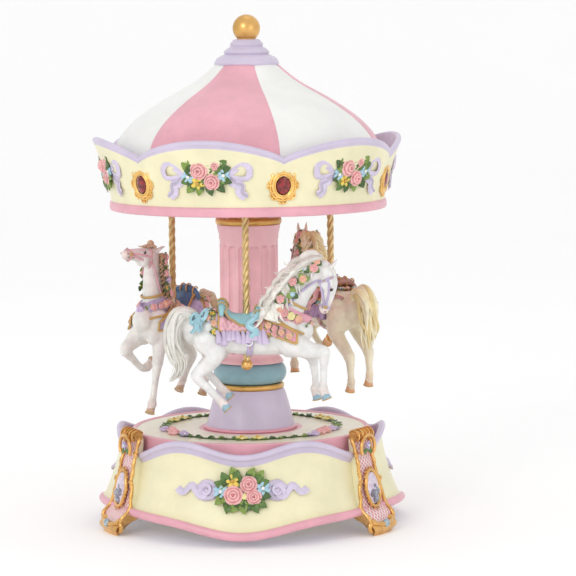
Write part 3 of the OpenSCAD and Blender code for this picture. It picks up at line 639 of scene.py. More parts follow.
def bow_side(bm, place, reach, loop, tint, drop=None):
    """One full teardrop loop of a bow, its hollow shown by a darker ball as painted shade, the crease lines
    at its root, and its tail with a darker strip of painted shade.
    """
    lean = (0, 0.45, 1)
    # Painted shade: a darker copy of the ribbon's colour, for the loop's hollow and a strip along the tail.
    shade = tuple(c * 0.72 for c in tint)
    hollow = place @ Matrix.Translation((reach * 0.62, loop * 0.12, 0.25))
    ball(bm, (0, 0, 0), 1, (reach * 0.34, loop * 0.5, 0.7), hollow, (14, 8), tint=shade)
    path = [
        (0, 0.2, 0.9), (reach * 0.3, loop * 0.62, 1.5), (reach * 0.72, loop * 0.95, 1.7),
        (reach, loop * 0.3, 1.8), (reach * 0.86, -loop * 0.55, 1.6), (reach * 0.42, -loop * 0.5, 1.2),
        (0, -0.3, 0.9),
    ]
    ribbon(bm, place, path, loop * 0.62, tint, 32, 0.26, lean)
    inner = [(reach * 0.04, 0, 1.3), (reach * 0.3, loop * 0.16, 1.8), (reach * 0.55, loop * 0.42, 1.5)]
    ribbon(bm, place, inner, loop * 0.34, tint, 12, 0.24, lean, 0.4)
    if drop:
        for shift, wide, colour_of in ((0.0, 0.85, tint), (loop * 0.2, 0.3, shade)):
            run = [(x + shift, y, z + shift * 0.25) for x, y, z in drop]
            ribbon(bm, place, run, loop * wide, colour_of, 24, 0.22, (0, 0.2, 1))


STAMPS = {}
ROSE_KINDS = {"pink": ROSE_PINK, "peach": ROSE_PEACH, "gold": ROSE_YELLOW, "mauve": ROSE_MAUVE}
DAISY_KINDS = {
    "blue": (BLUE, WHITE, 6), "yellow": (YELLOW, (0.6, 0.35, 0.05), 5),
    "pale": ((0.88, 0.75, 0.3), (0.75, 0.5, 0.1), 5), "violet": ((0.45, 0.38, 0.62), WHITE, 5),
}


def stamp(bm, place, size, build, *looks):
    """Adds a copy of a small shape, which is built only once for the same looks."""
    key = (build.__name__, *looks)
    if key not in STAMPS:
        small = tinted_mesh()
        build(small, *looks)
        STAMPS[key] = bpy.data.meshes.new(build.__name__)
        small.to_mesh(STAMPS[key])
        small.free()
    copy = STAMPS[key].copy()
    copy.transform(place @ Matrix.Scale(size, 4))
    bm.from_mesh(copy)
    bpy.data.meshes.remove(copy)


def stamp_rose(bm, place, size, kind):
    stamp(bm, place, size, rose, ROSE_KINDS[kind])


def stamp_leaf(bm, place, size, tint, wide=0.5):
    stamp(bm, place, size, leaf, wide, tint)


def stamp_daisy(bm, place, size, kind):
    stamp(bm, place, size, daisy, *DAISY_KINDS[kind])


def smoothed(bm, rounds, factor):
    """Evens out a mesh's vertices a few times."""
    for _ in range(rounds):
        bmesh.ops.smooth_vert(
            bm, verts=bm.verts, factor=factor, use_axis_x=True, use_axis_y=True, use_axis_z=True
        )


def small_parts(build):
    """Builds tinted geometry in a mesh of its own."""
    bm = tinted_mesh()
    build(bm)
    return bm


LEAF_DIP = -0.3


def posy(bm, place, flowers, leaves, seed):
    """A bed of leaves, given as (x, y, heading, size), under flowers, given as (x, y, size, kind)."""
    dice = random.Random(seed)
    for x, y, heading_deg, size in leaves:
        for turn_deg, lift, share in ((0, 0.3, 1.0), (38, 0.9, 0.6), (-35, 0.7, 0.66)):
            spot = Matrix.Translation((x, y, lift)) @ turned(heading_deg + turn_deg)
            lie = place @ spot @ Matrix.Rotation(LEAF_DIP, 4, "Y")
            stamp_leaf(bm, lie, size * share, dice.choice(GREENS), 0.35)
    for x, y, size, kind in flowers:
        spot = place @ Matrix.Translation((x, y, 1.0))
        spot = spot @ Matrix.Rotation(dice.uniform(0, 6), 4, "Z")
        if kind in ROSE_KINDS:
            stamp_rose(bm, spot, size, kind)
        else:
            stamp_daisy(bm, spot, size, kind)


# ---------- base ----------

BAND_R = 2.6
BEAD_R = 2.0
WALL_T = 3.5
WALL_START = 4
SIDE = 120
CORNER_FLARE = 8
RIM_PEAK, RIM_VALLEY, RIM_CORNER = DECK_Z + 0.6, DECK_Z - 6.4, DECK_Z - 11.3
BASE_BOUQUET_Z = 32


def rim_height(a, hump):
    """Height of the rim, which is low at mid-side, highest at the hump and lowest at the corners."""
    t = off_middle(a, SIDE)
    if t < hump:
        return RIM_VALLEY + (RIM_PEAK - RIM_VALLEY) * ease(t / hump)
    return RIM_PEAK - (RIM_PEAK - RIM_CORNER) * ease((t - hump) / (SIDE / 2 - hump))


def wall_radius(top, foot, t):
    """Radius of the hollow-curved wall, from its foot at 0 to its top at 1."""
    return top + (foot - 1 - top) * (1 - t) ** 1.7


def base_section(a, sizes):
    """Closed outline of the base casting at an angle from the front side's middle."""
    share = 1 - (off_middle(a, SIDE) / (SIDE / 2)) ** 2.5
    wall_top, wall_foot, inset = (v / MM for v in (sizes.wall_top, sizes.wall_foot, sizes.corner_inset))
    top = wall_top - inset * (1 - share)
    foot = wall_foot - (wall_foot - wall_top + inset - CORNER_FLARE) * (1 - share)
    band_z = WALL_START + 8 * (1 - math.exp(-(off_middle(a, SIDE) / 20) ** 2))
    rim = rim_height(a, math.degrees(sizes.hump))
    start = band_z + 2 * BAND_R
    band = [
        (foot + BAND_R * math.cos(math.radians(d)), band_z + BAND_R + BAND_R * math.sin(math.radians(d)))
        for d in range(-90, 91, 18)
    ]
    wall = [
        (wall_radius(top, foot, t), start + (rim - BEAD_R - start) * t)
        for t in [k / 12 for k in range(12)]
    ]
    bead = [
        (top + 0.6 + BEAD_R * math.cos(math.radians(d)), rim + BEAD_R * math.sin(math.radians(d)))
        for d in range(-75, 181, 17)
    ]
    flange = low("deck_plate").z
    ledge = high("bottom_cover").z
    inside = [
        (top - WALL_T, flange), (DECK_R - 7, flange), (DECK_R - 7, flange - 3),
        (top - WALL_T + 0.5, flange - 3), (top - WALL_T + 1, ledge + 3), (60, ledge + 3), (60, ledge),
        (top - WALL_T + 1, ledge),
    ]
    return band, wall, bead, inside


def shaped_ring(bm, section, steps):
    """Spins the first section and then draws every row out to the section at its own angle."""
    layer = bm.verts.layers.int.new("row")
    spun(bm, section(0.0), steps, closed=True)
    cache = {}
    for v in bm.verts:
        a = round(math.degrees(math.atan2(v.co.x, -v.co.y)) % 360, 3) % 360
        if a not in cache:
            cache[a] = section(a)
        r, z = cache[a][v[layer]]
        v.co = polar(a, r, z)


def paint_rows(bm, limits):
    """Gives each face the material whose rows it lies in. Limits are the first rows of materials 1, 2, ..."""
    layer = bm.verts.layers.int["row"]
    for f in bm.faces:
        rows = [v[layer] for v in f.verts]
        row = min(rows) if max(rows) - min(rows) < 3 else max(rows)
        f.material_index = sum(row >= limit for limit in limits)


def face(bm, phi):
    """Turns a whole mesh about the axis."""
    bmesh.ops.rotate(bm, cent=(0, 0, 0), matrix=Matrix.Rotation(math.radians(phi), 3, "Z"), verts=bm.verts)


def build_base_shell():
    """Cream wall with a pink rolled foot band and a lilac bead along its waving rim."""
    sizes = settings().base
    parts = base_section(0.0, sizes)
    starts = [sum(len(p) for p in parts[:k]) for k in (1, 2, 3)]
    bm = bmesh.new()
    shaped_ring(bm, lambda a: [p for part in base_section(a, sizes) for p in part], 360)
    paint_rows(bm, [starts[0] - 1, starts[1] - 1])
    face(bm, math.degrees(sizes.facing))
    paints = [pink_paint(), cream_paint(), lilac_paint()]
    piece(bm, "base_casting", paints, "base", ["base_shell"], 40)


def build_deck():
    """Round deck with a pink side, a raised lip and a cream top."""
    flange = low("deck_plate").z
    hole = high("column_tube").x
    bm = bmesh.new()
    spun(
        bm,
        [
            (hole, DECK_Z - 3.5), (DECK_R - 3, DECK_Z - 3.5), (DECK_R - 3, flange), (DECK_R - 0.4, flange),
            (DECK_R, flange + 0.4), (DECK_R, DECK_Z - 2), (DECK_R - 0.2, DECK_Z + 0.1),
            (DECK_R - 0.8, DECK_Z + 0.7), (DECK_R - 1.5, DECK_Z + 0.8), (DECK_R - 2.3, DECK_Z + 0.7),
            (DECK_R - 3, DECK_Z + 0.15), (DECK_R - 3.4, DECK_Z), (DECK_R - 10, DECK_Z),
            (COLUMN_BOTTOM_R + 3, DECK_Z), (COLUMN_BOTTOM_R - 4, DECK_Z), (hole, DECK_Z),
        ],
        180, closed=True,
    )
    paint_rows(bm, [11, 13])
    # The second colour is the deck top's painted shade in its hollows.
    top = resin("deck_cream", (0.86, 0.83, 0.66), (0.6, 0.55, 0.38), mottle=0.05)
    piece(bm, "deck", [pink_paint(), top, pink_paint()], "base", ["deck_plate"])


def build_garland():
    """A vine with leaves round the deck, yellow flowers at mid-side and roses towards the corners."""
    dice = random.Random(11)
    vine_r = DECK_R - 20
    front = math.degrees(settings().base.facing) + 3
    bm = tinted_mesh()
    path = [polar(k * 3, vine_r + 0.9 * math.sin(math.radians(k * 30)), DECK_Z + 0.35) for k in range(121)]
    tube(bm, path, lambda t: 0.5, 6, tint=lambda t: GREENS[2])
    for k in range(84):
        phi = k * 360 / 84 + dice.uniform(-1, 1)
        side = 1 if k % 2 else -1
        place = at(phi, vine_r, DECK_Z + 0.5) @ turned(side * dice.uniform(15, 45))
        place = place @ Matrix.Rotation(LEAF_DIP / 2, 4, "Y")
        stamp_leaf(bm, place, dice.uniform(3.8, 5.4), dice.choice(GREENS), 0.38)
    for k in range(3):
        for s in (-5.2, 5.2):
            place = at(front + k * SIDE + s, vine_r, DECK_Z + 1.0)
            stamp_daisy(bm, place, 4.2, "pale")
        for s, kind, r in ((-14, "mauve", 3.3), (-6, "pink", 3.9), (2, "pink", 4.1), (10, "mauve", 3.3)):
            phi = front + (k + 0.5) * SIDE + s
            stamp_rose(bm, at(phi, vine_r + dice.uniform(-1.5, 1.5), DECK_Z + 0.8), r, kind)
        for s in (-18, 14):
            stamp_daisy(bm, at(front + (k + 0.5) * SIDE + s, vine_r + 1.5, DECK_Z + 0.9), 2.9, "violet")
    piece(bm, "deck_flowers", [tinted("flower_paint")], "base", ["deck_garland"])


def wall_frame(phi, z):
    """Frame on the base wall at mid-side, facing outwards along its slope."""
    sizes = settings().base
    top, foot = sizes.wall_top / MM, sizes.wall_foot / MM
    start, rim = WALL_START + 2 * BAND_R, RIM_VALLEY - BEAD_R
    return outward(phi, wall_radius(top, foot, (z - start) / (rim - start)) + 0.3, z, -15)


RIBBON_WAVE = ((-5, 0.5, 0.9), (-1.5, -3.4, 1.3), (2, 0.2, 1), (5.5, 2.6, 1.4), (10, -1.4, 1), (14, 0.6, 0.6))


def base_ribbon(bm, middle, s, tint):
    """Beside a bouquet: a swirl of ribbon with a fold above and below it, both darker as painted shade, and
    then the waving tail.
    """
    spots = []
    for reach in (14 + 16 * 0.4, 14 + 16 * 0.72):
        phi = middle + math.degrees(s * reach / (settings().base.wall_top / MM + 5))
        spots.append(wall_frame(phi, BASE_BOUQUET_Z) @ Matrix.Diagonal((s, 1, 1, 1)))
    swirl = [
        (4.6 * math.cos(a) * (1 - i / 26) + 1, 4.8 * math.sin(a) * (1 - i / 26), 0.6 + i / 12)
        for i, a in ((i, math.radians(150 + i * 30)) for i in range(19))
    ]
    ribbon(bm, spots[0], swirl, 3.1, tint, 54, 0.3, (0.3, 0.3, 1))
    # Painted shade: the folds are darker copies of the ribbon's colour, the lower one darker still.
    for lift, shade in ((4.8, 0.86), (-4.6, 0.78)):
        sweep = [(-6, 0, 0.6), (-3, lift * 0.8, 1.3), (2, lift, 1.5), (6, lift * 0.3, 1.1)]
        ribbon(bm, spots[0], sweep, 3.2, tuple(c * shade for c in tint), 16, 0.26)
    ribbon(bm, spots[1], RIBBON_WAVE, 5.2, tint, 30, 0.3, (0.2, 0.3, 1))


def build_base_bouquets():
    """On each side: roses, a yellow and two blue flowers in leaves, with ribbon rosettes and waving tails."""
    ribbon_tint = tuple(min(1, c * 1.08) for c in settings().paint.lilac)
    flowers = [
        (-4.8, -2.6, 6.0, "pink"), (4.2, 3.8, 5.4, "pink"), (7.4, -3.6, 4.9, "pink"),
        (-12.4, -0.4, 4.4, "blue"), (12.6, 1.6, 4.5, "blue"), (-5.4, 5.8, 4.6, "yellow"),
        (1.4, -3.4, 2.3, "gold"),
    ]
    leaves = [
        (-8, 4, 118, 8.5), (-3, 5, 84, 8), (4, 7, 62, 8), (7, 6, 30, 7), (-10, -3, 222, 8),
        (-7, -6, 256, 8), (-2, -7, 236, 7.5), (0, -6, 286, 8.5), (6, -6, 300, 8.5), (9, -6, 330, 7.5),
        (11, -2, 348, 7), (10, 4, 20, 7), (-10, 3, 160, 7), (-4, 8, 110, 7), (4, -5, 262, 8), (9, 7, 52, 7),
        (0, 2, 80, 6), (0, -3, 270, 6),
    ]
    bm = tinted_mesh()
    for k in range(3):
        middle = math.degrees(settings().base.facing) + k * SIDE
        place = wall_frame(middle, BASE_BOUQUET_Z)
        posy(bm, place, flowers, leaves, 3 + k)
        for s in (-1, 1):
            base_ribbon(bm, middle, s, ribbon_tint)
    piece(bm, "base_bouquet_set", [tinted("flower_paint")], "base", ["base_bouquets"])


FOOT_WIDTH = ((0, 10.5), (6, 13.5), (15, 14.5), (25, 12.5), (36, 9.5), (47, 9), (56, 10), (62, 5))
PANEL_FOOT, PANEL_TOP = 7.5, 58
ROLL_R, ROLL_Z = 79.5, 58.6
OVAL_Z = 27
FOOT_REACH = ((0, 97), (4, 99.2), (9, 96), (18, 89.5), (30, 87.5), (40, 85.5), (50, 83), (62, 80))
FOOT_TOP = 62.0
LATTICE_PITCH = 3.0


def foot_point(u, z, lift=0.0):
    """Point on a corner foot's face, in its own frame: u is -1..1 across it."""
    w = between(FOOT_WIDTH, z)
    crown = between(FOOT_REACH, z) - 1.4 - 1.2 * u * u + lift
    return Vector((u * w, -crown, z))


@made_once
def lattice(name):
    """Pale pink panel crossed by raised white lattice lines."""
    m, tree, shader = shader_tree(name)
    at_uv = add(tree, "ShaderNodeUVMap", uv_map="lattice")
    split = add(tree, "ShaderNodeSeparateXYZ")
    tree.links.new(at_uv.outputs["UV"], split.inputs[0])
    lines = []
    for operation in ("ADD", "SUBTRACT"):
        both = add(tree, "ShaderNodeMath", operation=operation)
        tree.links.new(split.outputs[0], both.inputs[0])
        tree.links.new(split.outputs[1], both.inputs[1])
        wave = add(tree, "ShaderNodeMath", operation="PINGPONG")
        wave.inputs[1].default_value = 0.5
        tree.links.new(both.outputs[0], wave.inputs[0])
        lines.append(stretched(tree, wave.outputs[0], 0.1, 0.17, 1.0, 0.0))
    net = add(tree, "ShaderNodeMath", operation="MAXIMUM")
    tree.links.new(lines[0], net.inputs[0])
    tree.links.new(lines[1], net.inputs[1])
    worn = mix(
        tree, stretched(tree, noise(tree, 300.0), 0.3, 0.7, 0, 1), (0.7, 0.25, 0.3), (0.78, 0.34, 0.38),
    )
    tree.links.new(mix(tree, net.outputs[0], worn, (0.93, 0.84, 0.8)), shader.inputs["Base Color"])
    bumped(tree, shader, net.outputs[0], 0.6, 0.0005)
    constants(shader, Roughness=0.45, Coat_Weight=0.2)
    return m


def foot_body(bm, place):
    """Violin-shaped corner piece: a gold frame round a lattice panel, deep enough to meet the wall."""
    across, up = 24, 48
    whole, bm = bm, bmesh.new()
    uv = bm.loops.layers.uv.new("lattice")
    made = bmesh.ops.create_grid(bm, x_segments=across, y_segments=up, size=1.0)["verts"]
    own = {v: (v.co.x, (v.co.y + 1) / 2 * FOOT_TOP) for v in made}
    faces = {f for v in made for f in v.link_faces}
    for f in faces:
        us = [own[v][0] for v in f.verts]
        zs = [own[v][1] for v in f.verts]
        u, z = sum(us) / 4, sum(zs) / 4
        inside = abs(u) < 0.9 and PANEL_FOOT + 2 * u * u < z < PANEL_TOP - 6 * u * u
        f.material_index = 1 if inside else 0
        for loop in f.loops:
            lu, lz = own[loop.vert]
            loop[uv].uv = (lu * between(FOOT_WIDTH, lz) / LATTICE_PITCH, lz / LATTICE_PITCH)
    for v, (u, z) in own.items():
        sunk = -0.6 if abs(u) < 0.92 and PANEL_FOOT < z < PANEL_TOP else 0.0
        v.co = foot_point(u, z, sunk)
    border = [e for e in {e for v in made for e in v.link_edges} if len(e.link_faces) == 1]
    pulled = bmesh.ops.extrude_edge_only(bm, edges=border)["geom"]
    back = [v for v in pulled if isinstance(v, bmesh.types.BMVert)]
    for v in back:
        low_share = max(0.0, 1 - v.co.z / 12)
        v.co.y = -76.0 - 9.0 * low_share
        v.co.x *= 0.86 - 0.2 * low_share
        v.co.z += 6.5 * low_share
    loop = [e for e in pulled if isinstance(e, bmesh.types.BMEdge) and all(v in back for v in e.verts)]
    bmesh.ops.contextual_create(bm, geom=loop)
    for f in {f for v in back for f in v.link_faces}:
        if f.calc_center_median().z > 13:
            f.material_index = 2
    merge_in(whole, bm, place)


def scroll(centre, r, start, turns, grow=0.35, steps=22):
    """Points of a flat spiral in the local XZ plane, from its eye outwards."""
    pts = []
    for i in range(steps + 1):
        a = math.radians(start) + FULL * turns * i / steps
        rr = r * (grow + (1 - grow) * i / steps)
        pts.append(Vector((centre[0] + rr * math.cos(a), centre[1], centre[2] + rr * math.sin(a))))
    return pts


def foot_trim(bm, place):
    """Gold rope along the edges, curls at waist and toe, the rolled top and the oval frame."""
    for s in (-1, 1):
        edge = [place @ foot_point(s * 0.97, z, 0.3) for z in [8 + 50 * i / 40 for i in range(41)]]
        tube(bm, edge, lambda t: 1.0 + 0.3 * math.sin(FULL * 4 * t) ** 2, 8)
        for z, r in ((31, 1.7), (47, 2.0)):
            x = s * (between(FOOT_WIDTH, z) + 0.2)
            curl = scroll((x, -between(FOOT_REACH, z) + 1.6, z), r, 90, s * 1.2)
            tube(bm, [place @ p for p in curl], lambda t: 0.45 + 0.4 * t, 7)
        toe = scroll((s * 10.5, -93.5, 5.2), 3.6, 0 if s > 0 else 180, s * 1.4)
        tube(bm, [place @ p for p in toe], lambda t: 1.0 + 0.8 * t, 8)
    roll = [place @ Vector((x, -ROLL_R, ROLL_Z)) for x in [-9.6 + 19.2 * i / 12 for i in range(13)]]
    tube(bm, roll, lambda t: 3.1 + 0.5 * math.cos(FULL * 2 * t) - 0.8 * (2 * t - 1) ** 2, 14)
    for x in (-8, -4, 0, 4, 8):
        band = [
            place @ Vector((x, -ROLL_R - 3.7 * math.cos(a), ROLL_Z + 3.5 * math.sin(a)))
            for a in [math.radians(-60 + 15 * i) for i in range(15)]
        ]
        tube(bm, band, lambda t: 0.65, 6)
    arch = [
        place @ Vector((7.6 * math.cos(a), -84.4, 51.5 + 7.2 * math.sin(a)))
        for a in [math.radians(-30 + 12 * i) for i in range(21)]
    ]
    tube(bm, arch, lambda t: 1.1, 8)
    ring = []
    for i in range(33):
        a = FULL * i / 32
        z = OVAL_Z + 10.8 * math.sin(a)
        ring.append(place @ Vector((7.2 * math.cos(a), -between(FOOT_REACH, z) + 0.4, z)))
    tube(bm, ring, lambda t: 1.15, 8)
    for i in range(20):
        a = FULL * i / 20
        z = OVAL_Z + 12.4 * math.sin(a)
        ball(bm, place @ Vector((8.6 * math.cos(a), -between(FOOT_REACH, z) + 0.5, z)), 0.6, detail=(8, 5))
    lip = [
        place @ foot_point(-0.9 + 1.8 * i / 16, PANEL_FOOT - 1.2 + 2.0 * (-1 + i / 8) ** 2, 0.4)
        for i in range(17)
    ]
    tube(bm, lip, lambda t: 1.3, 8)


def build_corner_feet():
    """Three gilded corner pieces with lattice panels, rolled tops and scrolled toes."""
    bm = bmesh.new()
    bm.loops.layers.uv.new("lattice")
    for k in range(3):
        place = at(math.degrees(settings().base.facing) + (k + 0.5) * SIDE)
        foot_body(bm, place)
        foot_trim(bm, place)
    piece(
        bm, "corner_foot_set", [gold_paint(), lattice("lattice_paint"), cream_paint()], "base",
        ["corner_feet"], 50,
    )


def build_corner_stones():
    """Lilac cabochon with a dark cut stone, a toe stone, and the small flower above."""
    stones, flowers = bmesh.new(), tinted_mesh()
    for k in range(3):
        corner = math.degrees(settings().base.facing) + (k + 0.5) * SIDE
        oval = outward(corner, 87.4, OVAL_Z, -9)
        ball(stones, (0, 0, 0), 1, (6.4, 9.8, 2.0), oval, (20, 12), 0)
        for x, y, r in ((-1.9, -3.2, 3.1), (2.0, -2.2, 2.9), (0, -6.4, 2.9), (0.2, 1.2, 1.9)):
            ball(stones, (x, y, 1.3), r, (1, 1, 0.6), oval, (8, 5), 1)
        face_out = outward(corner)
        ball(stones, (0, 6.6, 97.0), 2.8, (1, 1, 0.7), face_out, (10, 6), 2)
        spot = face_out @ Matrix.Translation((0, 52.5, 84.2))
        stamp_daisy(flowers, spot, 3.0, "violet")
        for x, y, turn_deg in ((-1, -4, 160), (1, -4, 20), (0, -4, 90)):
            lie = Matrix.Translation((x, y, 0)) @ turned(turn_deg)
            stamp_leaf(flowers, spot @ lie, 4.2, GREENS[0])
    kinds = [
        gemstone("lilac_cabochon", (0.62, 0.5, 0.62), (0.85, 0.75, 0.85)),
        gemstone("smoke_stone", (0.12, 0.11, 0.16), (0.5, 0.5, 0.58)),
        gemstone("grey_stone", (0.18, 0.26, 0.32), (0.55, 0.66, 0.72)),
    ]
    piece(stones, "corner_stone_set", kinds, "base", ["corner_stones"], 12)
    piece(flowers, "corner_flowers", [tinted("flower_paint")], "base")


# ---------- column ----------


def build_column():
    """Bell, roll and the rings over and under the shaft, each turned smooth."""
    hole = high("column_tube").x
    tall = BELL_TOP - DECK_Z
    bell = [
        (hole, DECK_Z), (COLUMN_BOTTOM_R - 0.6, DECK_Z), (COLUMN_BOTTOM_R, DECK_Z + 0.5),
        (COLUMN_BOTTOM_R - 0.2, DECK_Z + 1.4), (COLUMN_BOTTOM_R - 1.4, DECK_Z + 1.9),
    ]
    collar_rows = len(bell) - 1
    bell += [
        (20.4 + 6.4 * (1 - t) ** 0.75, DECK_Z + 2.2 + (tall - 2.2) * t)
        for t in [k / 24 for k in range(25)]
    ]
    bell += [(hole, BELL_TOP)]
    bm = bmesh.new()
    spun(bm, bell, 128, closed=True)
    paint_rows(bm, [collar_rows])
    piece(bm, "bell", [pink_paint(), lilac_paint()], "base", ["column_bell"], 50)
    for name, z0, z1, r, bulge_share, paints, node, slot in (
        ("lower_ring", BELL_TOP, LOWER_RING_TOP, 20.9, 0.35, gold_ring(), "column_lower_ring", "bright_gold"),
        ("roll", LOWER_RING_TOP, TORUS_TOP, 22.4, 0.42, teal_paint(), "column_torus", "teal_resin"),
        ("upper_ring", SHAFT_TOP, COLUMN_TOP, 20.4, 0.35, gold_ring(), "column_upper_ring", "bright_gold"),
    ):
        tall = z1 - z0
        half = []
        for d in range(-90, 91, 9):
            a = math.radians(d)
            half.append((r - tall * bulge_share * (1 - math.cos(a)), (z0 + z1) / 2 + tall / 2 * math.sin(a)))
        bm = bmesh.new()
        spun(bm, [(hole, z0)] + half + [(hole, z1)], 128, closed=True)
        piece(bm, name, [paints], "base", [node], 60)


def gold_ring():
    return gilt("gold_ring", (0.56, 0.31, 0.07), rough=0.32, metal=0.75, grain=40.0)


FLUTE_PITCH = 360 / 16
SHAFT_R = 17.8


def build_shaft():
    """Pink shaft whose flutes end in round scoops, under a plain capital."""
    hole, r = high("column_tube").x, SHAFT_R
    capital = COLUMN_TOP - 13.7
    low_end, high_end = TORUS_TOP + 6, capital - 3
    depth, half = 1.9, 0.41 * FLUTE_PITCH
    points = [(hole, TORUS_TOP), (r + 2.9, TORUS_TOP), (r + 2.7, TORUS_TOP + 0.8), (r + 1.4, TORUS_TOP + 2.4),
              (r + 0.3, TORUS_TOP + 3.6), (r, TORUS_TOP + 4.2)]
    points += [(r, low_end + (high_end - low_end) * ease(k / 48)) for k in range(49)]
    points += [(r, capital), (r + 0.4, capital + 0.8), (r + 0.45, capital + 3.5), (r + 1.0, capital + 5.5),
               (r + 1.6, capital + 8), (r + 1.6, SHAFT_TOP), (hole, SHAFT_TOP)]
    bm = bmesh.new()
    for v in spun(bm, points, 384, closed=True):
        radius = math.hypot(v.co.x, v.co.y)
        if radius < r - 0.5 or not low_end < v.co.z < high_end:
            continue
        phi = math.degrees(math.atan2(v.co.x, -v.co.y))
        across = off_middle(phi - FLUTE_PITCH / 2, FLUTE_PITCH) / half
        end = min(v.co.z - low_end, high_end - v.co.z) / 2.4
        scoop = 1 - across ** 2 - max(0, 1 - end) ** 2
        if scoop > 0:
            v.co.xy *= 1 - depth * math.sqrt(scoop) / radius
    piece(bm, "fluted_shaft", [shaft_paint()], "base", ["column_shaft"], 50)


# ---------- canopy ----------

BAND_H = 5.8
TRIM_R = 1.7
SCALLOP = 60
WALL_BEND = 1.35
MEDALLION_Z, CANOPY_BOUQUET_Z = CANOPY_Z + 18.6, CANOPY_Z + 25.3


def valance_section(a, sizes, canopy_r):
    """Closed outline of the canopy's wall at an angle from one low point of its edge."""
    s = math.sin(math.radians(90 * off_middle(a, SCALLOP) / 30)) ** 0.8
    foot = CANOPY_Z + BAND_H
    top = CANOPY_Z + sizes.wall_rise / MM + sizes.scallop / MM * s - TRIM_R
    top_r = canopy_r + 5 + 5.3 * s
    base_r = canopy_r - 1
    band = [
        (canopy_r - 4.5, CANOPY_Z), (canopy_r - 1.6, CANOPY_Z), (canopy_r - 0.5, CANOPY_Z + 0.4),
        (canopy_r, CANOPY_Z + 1.4), (canopy_r, CANOPY_Z + BAND_H - 1.6),
        (canopy_r - 0.4, CANOPY_Z + BAND_H - 0.5), (base_r, foot),
    ]
    wall = [
        (base_r + (top_r - base_r) * t ** WALL_BEND, foot + (top - foot) * t)
        for t in [0.04 + 0.88 * k / 14 for k in range(15)]
    ]
    trim = [
        (top_r - TRIM_R + TRIM_R * math.cos(math.radians(d)), top + TRIM_R * math.sin(math.radians(d)))
        for d in range(-60, 181, 20)
    ]
    inner = [(r - 2.5, z) for r, z in reversed(wall[:-1])]
    return band, wall, trim, inner + [(canopy_r - 4.5, foot)]


def build_valance():
    """Canopy wall: pink band, cream face, and a lilac bead that dips to a point between scallops."""
    sizes = settings().canopy
    canopy_r = EAVE_R + 0.5
    parts = valance_section(0.0, sizes, canopy_r)
    starts = [sum(len(p) for p in parts[:k]) for k in (1, 2, 3)]
    bm = bmesh.new()
    shaped_ring(bm, lambda a: [p for part in valance_section(a, sizes, canopy_r) for p in part], 360)
    paint_rows(bm, [starts[0] - 1, starts[1] - 1])
    face(bm, math.degrees(sizes.facing))
    piece(
        bm, "canopy_wall", [pink_paint(), cream_paint(), lilac_paint()], "carousel", ["valance"],
        40,
    )


ROOF_LINE = ((1, 0), (0.972, 0.1), (0.933, 0.262), (0.817, 0.446), (0.625, 0.634), (0.385, 0.826))


def build_roof():
    """Tent roof: six gores in turn pink and white, with a fine crease between them."""
    sizes = settings().canopy
    crease = sizes.crease / MM
    tall = CAP_Z - EAVE_Z
    line = [(EAVE_R * r, EAVE_Z + tall * z) for r, z in ROOF_LINE] + [(19.2, CAP_Z)]
    outside = [tuple(p) for p in smooth_path(line, 60)]
    inside = [(r - 2.2, z - (0 if k == 0 else 1.2)) for k, (r, z) in enumerate(outside)][::-4]
    bm = bmesh.new()
    layer = bm.verts.layers.int.new("row")
    spun(bm, outside + inside, 360, closed=True)
    for v in bm.verts:
        phi = math.degrees(math.atan2(v.co.x, -v.co.y))
        if v[layer] < len(outside):
            radius = math.hypot(v.co.x, v.co.y)
            away = math.radians(off_middle(phi, SCALLOP)) * radius
            sag = 0.5 * math.sin(math.radians(off_middle(phi, SCALLOP) * 3)) ** 2
            v.co.xy *= 1 - (crease * math.exp(-(away / 0.9) ** 2) + 0.5 - sag) / radius
    for f in bm.faces:
        c = f.calc_center_median()
        gore = math.floor((math.degrees(math.atan2(c.x, -c.y)) % 360) / SCALLOP)
        f.material_index = gore % 2
    face(bm, math.degrees(sizes.facing))
    piece(bm, "tent_roof", [white_paint(), pink_paint()], "carousel", ["canopy_roof"], 50)


def build_finial():
    """Stepped lilac cap under a gold ball."""
    z = CAP_Z
    cap = [
        (0, z - 1), (15, z - 1), (18.6, z - 0.7), (19.6, z - 0.1), (19.8, z + 0.8), (19.3, z + 1.8),
        (17.8, z + 4), (14.6, z + 5.6), (13.4, z + 6.2), (13.9, z + 7), (13.6, z + 8), (12.4, z + 9.2),
        (10.4, z + 10.4), (9.8, z + 11), (10.1, z + 11.8), (9.8, z + 12.8), (8.8, z + 13.8), (7.7, z + 15),
        (4, z + 15.4), (0, z + 15.4),
    ]
    bm = bmesh.new()
    spun(bm, rounded(cap[1:-1], 4), 128)
    for loop_z in (z - 1, z + 15.4):
        ends = [e for e in bm.edges if len(e.link_faces) == 1 and abs(e.verts[0].co.z - loop_z) < 0.05]
        bmesh.ops.contextual_create(bm, geom=ends)
    piece(bm, "stepped_cap", [lilac_paint()], "carousel", ["roof_cap"], 60)
    r = high("finial_ball").x
    bm = bmesh.new()
    ball(bm, (0, 0, TOP_Z - r), r, detail=(64, 40))
    collar = [(4.6, CAP_TOP - 0.6), (5.6, CAP_TOP - 0.2), (5.6, CAP_TOP + 0.6), (4.8, CAP_TOP + 1.1)]
    spun(bm, collar, 64, closed=True)
    piece(bm, "gold_ball", [gold_ring()], "carousel", ["finial_ball"], 50)


def canopy_frame(phi, z):
    """Frame on the canopy's wall, facing outwards along its flare."""
    foot, tall = CANOPY_Z + BAND_H, settings().canopy.wall_rise / MM - BAND_H
    t = (z - foot) / tall
    return outward(phi, EAVE_R - 0.5 + 5 * t ** WALL_BEND, z, 9)


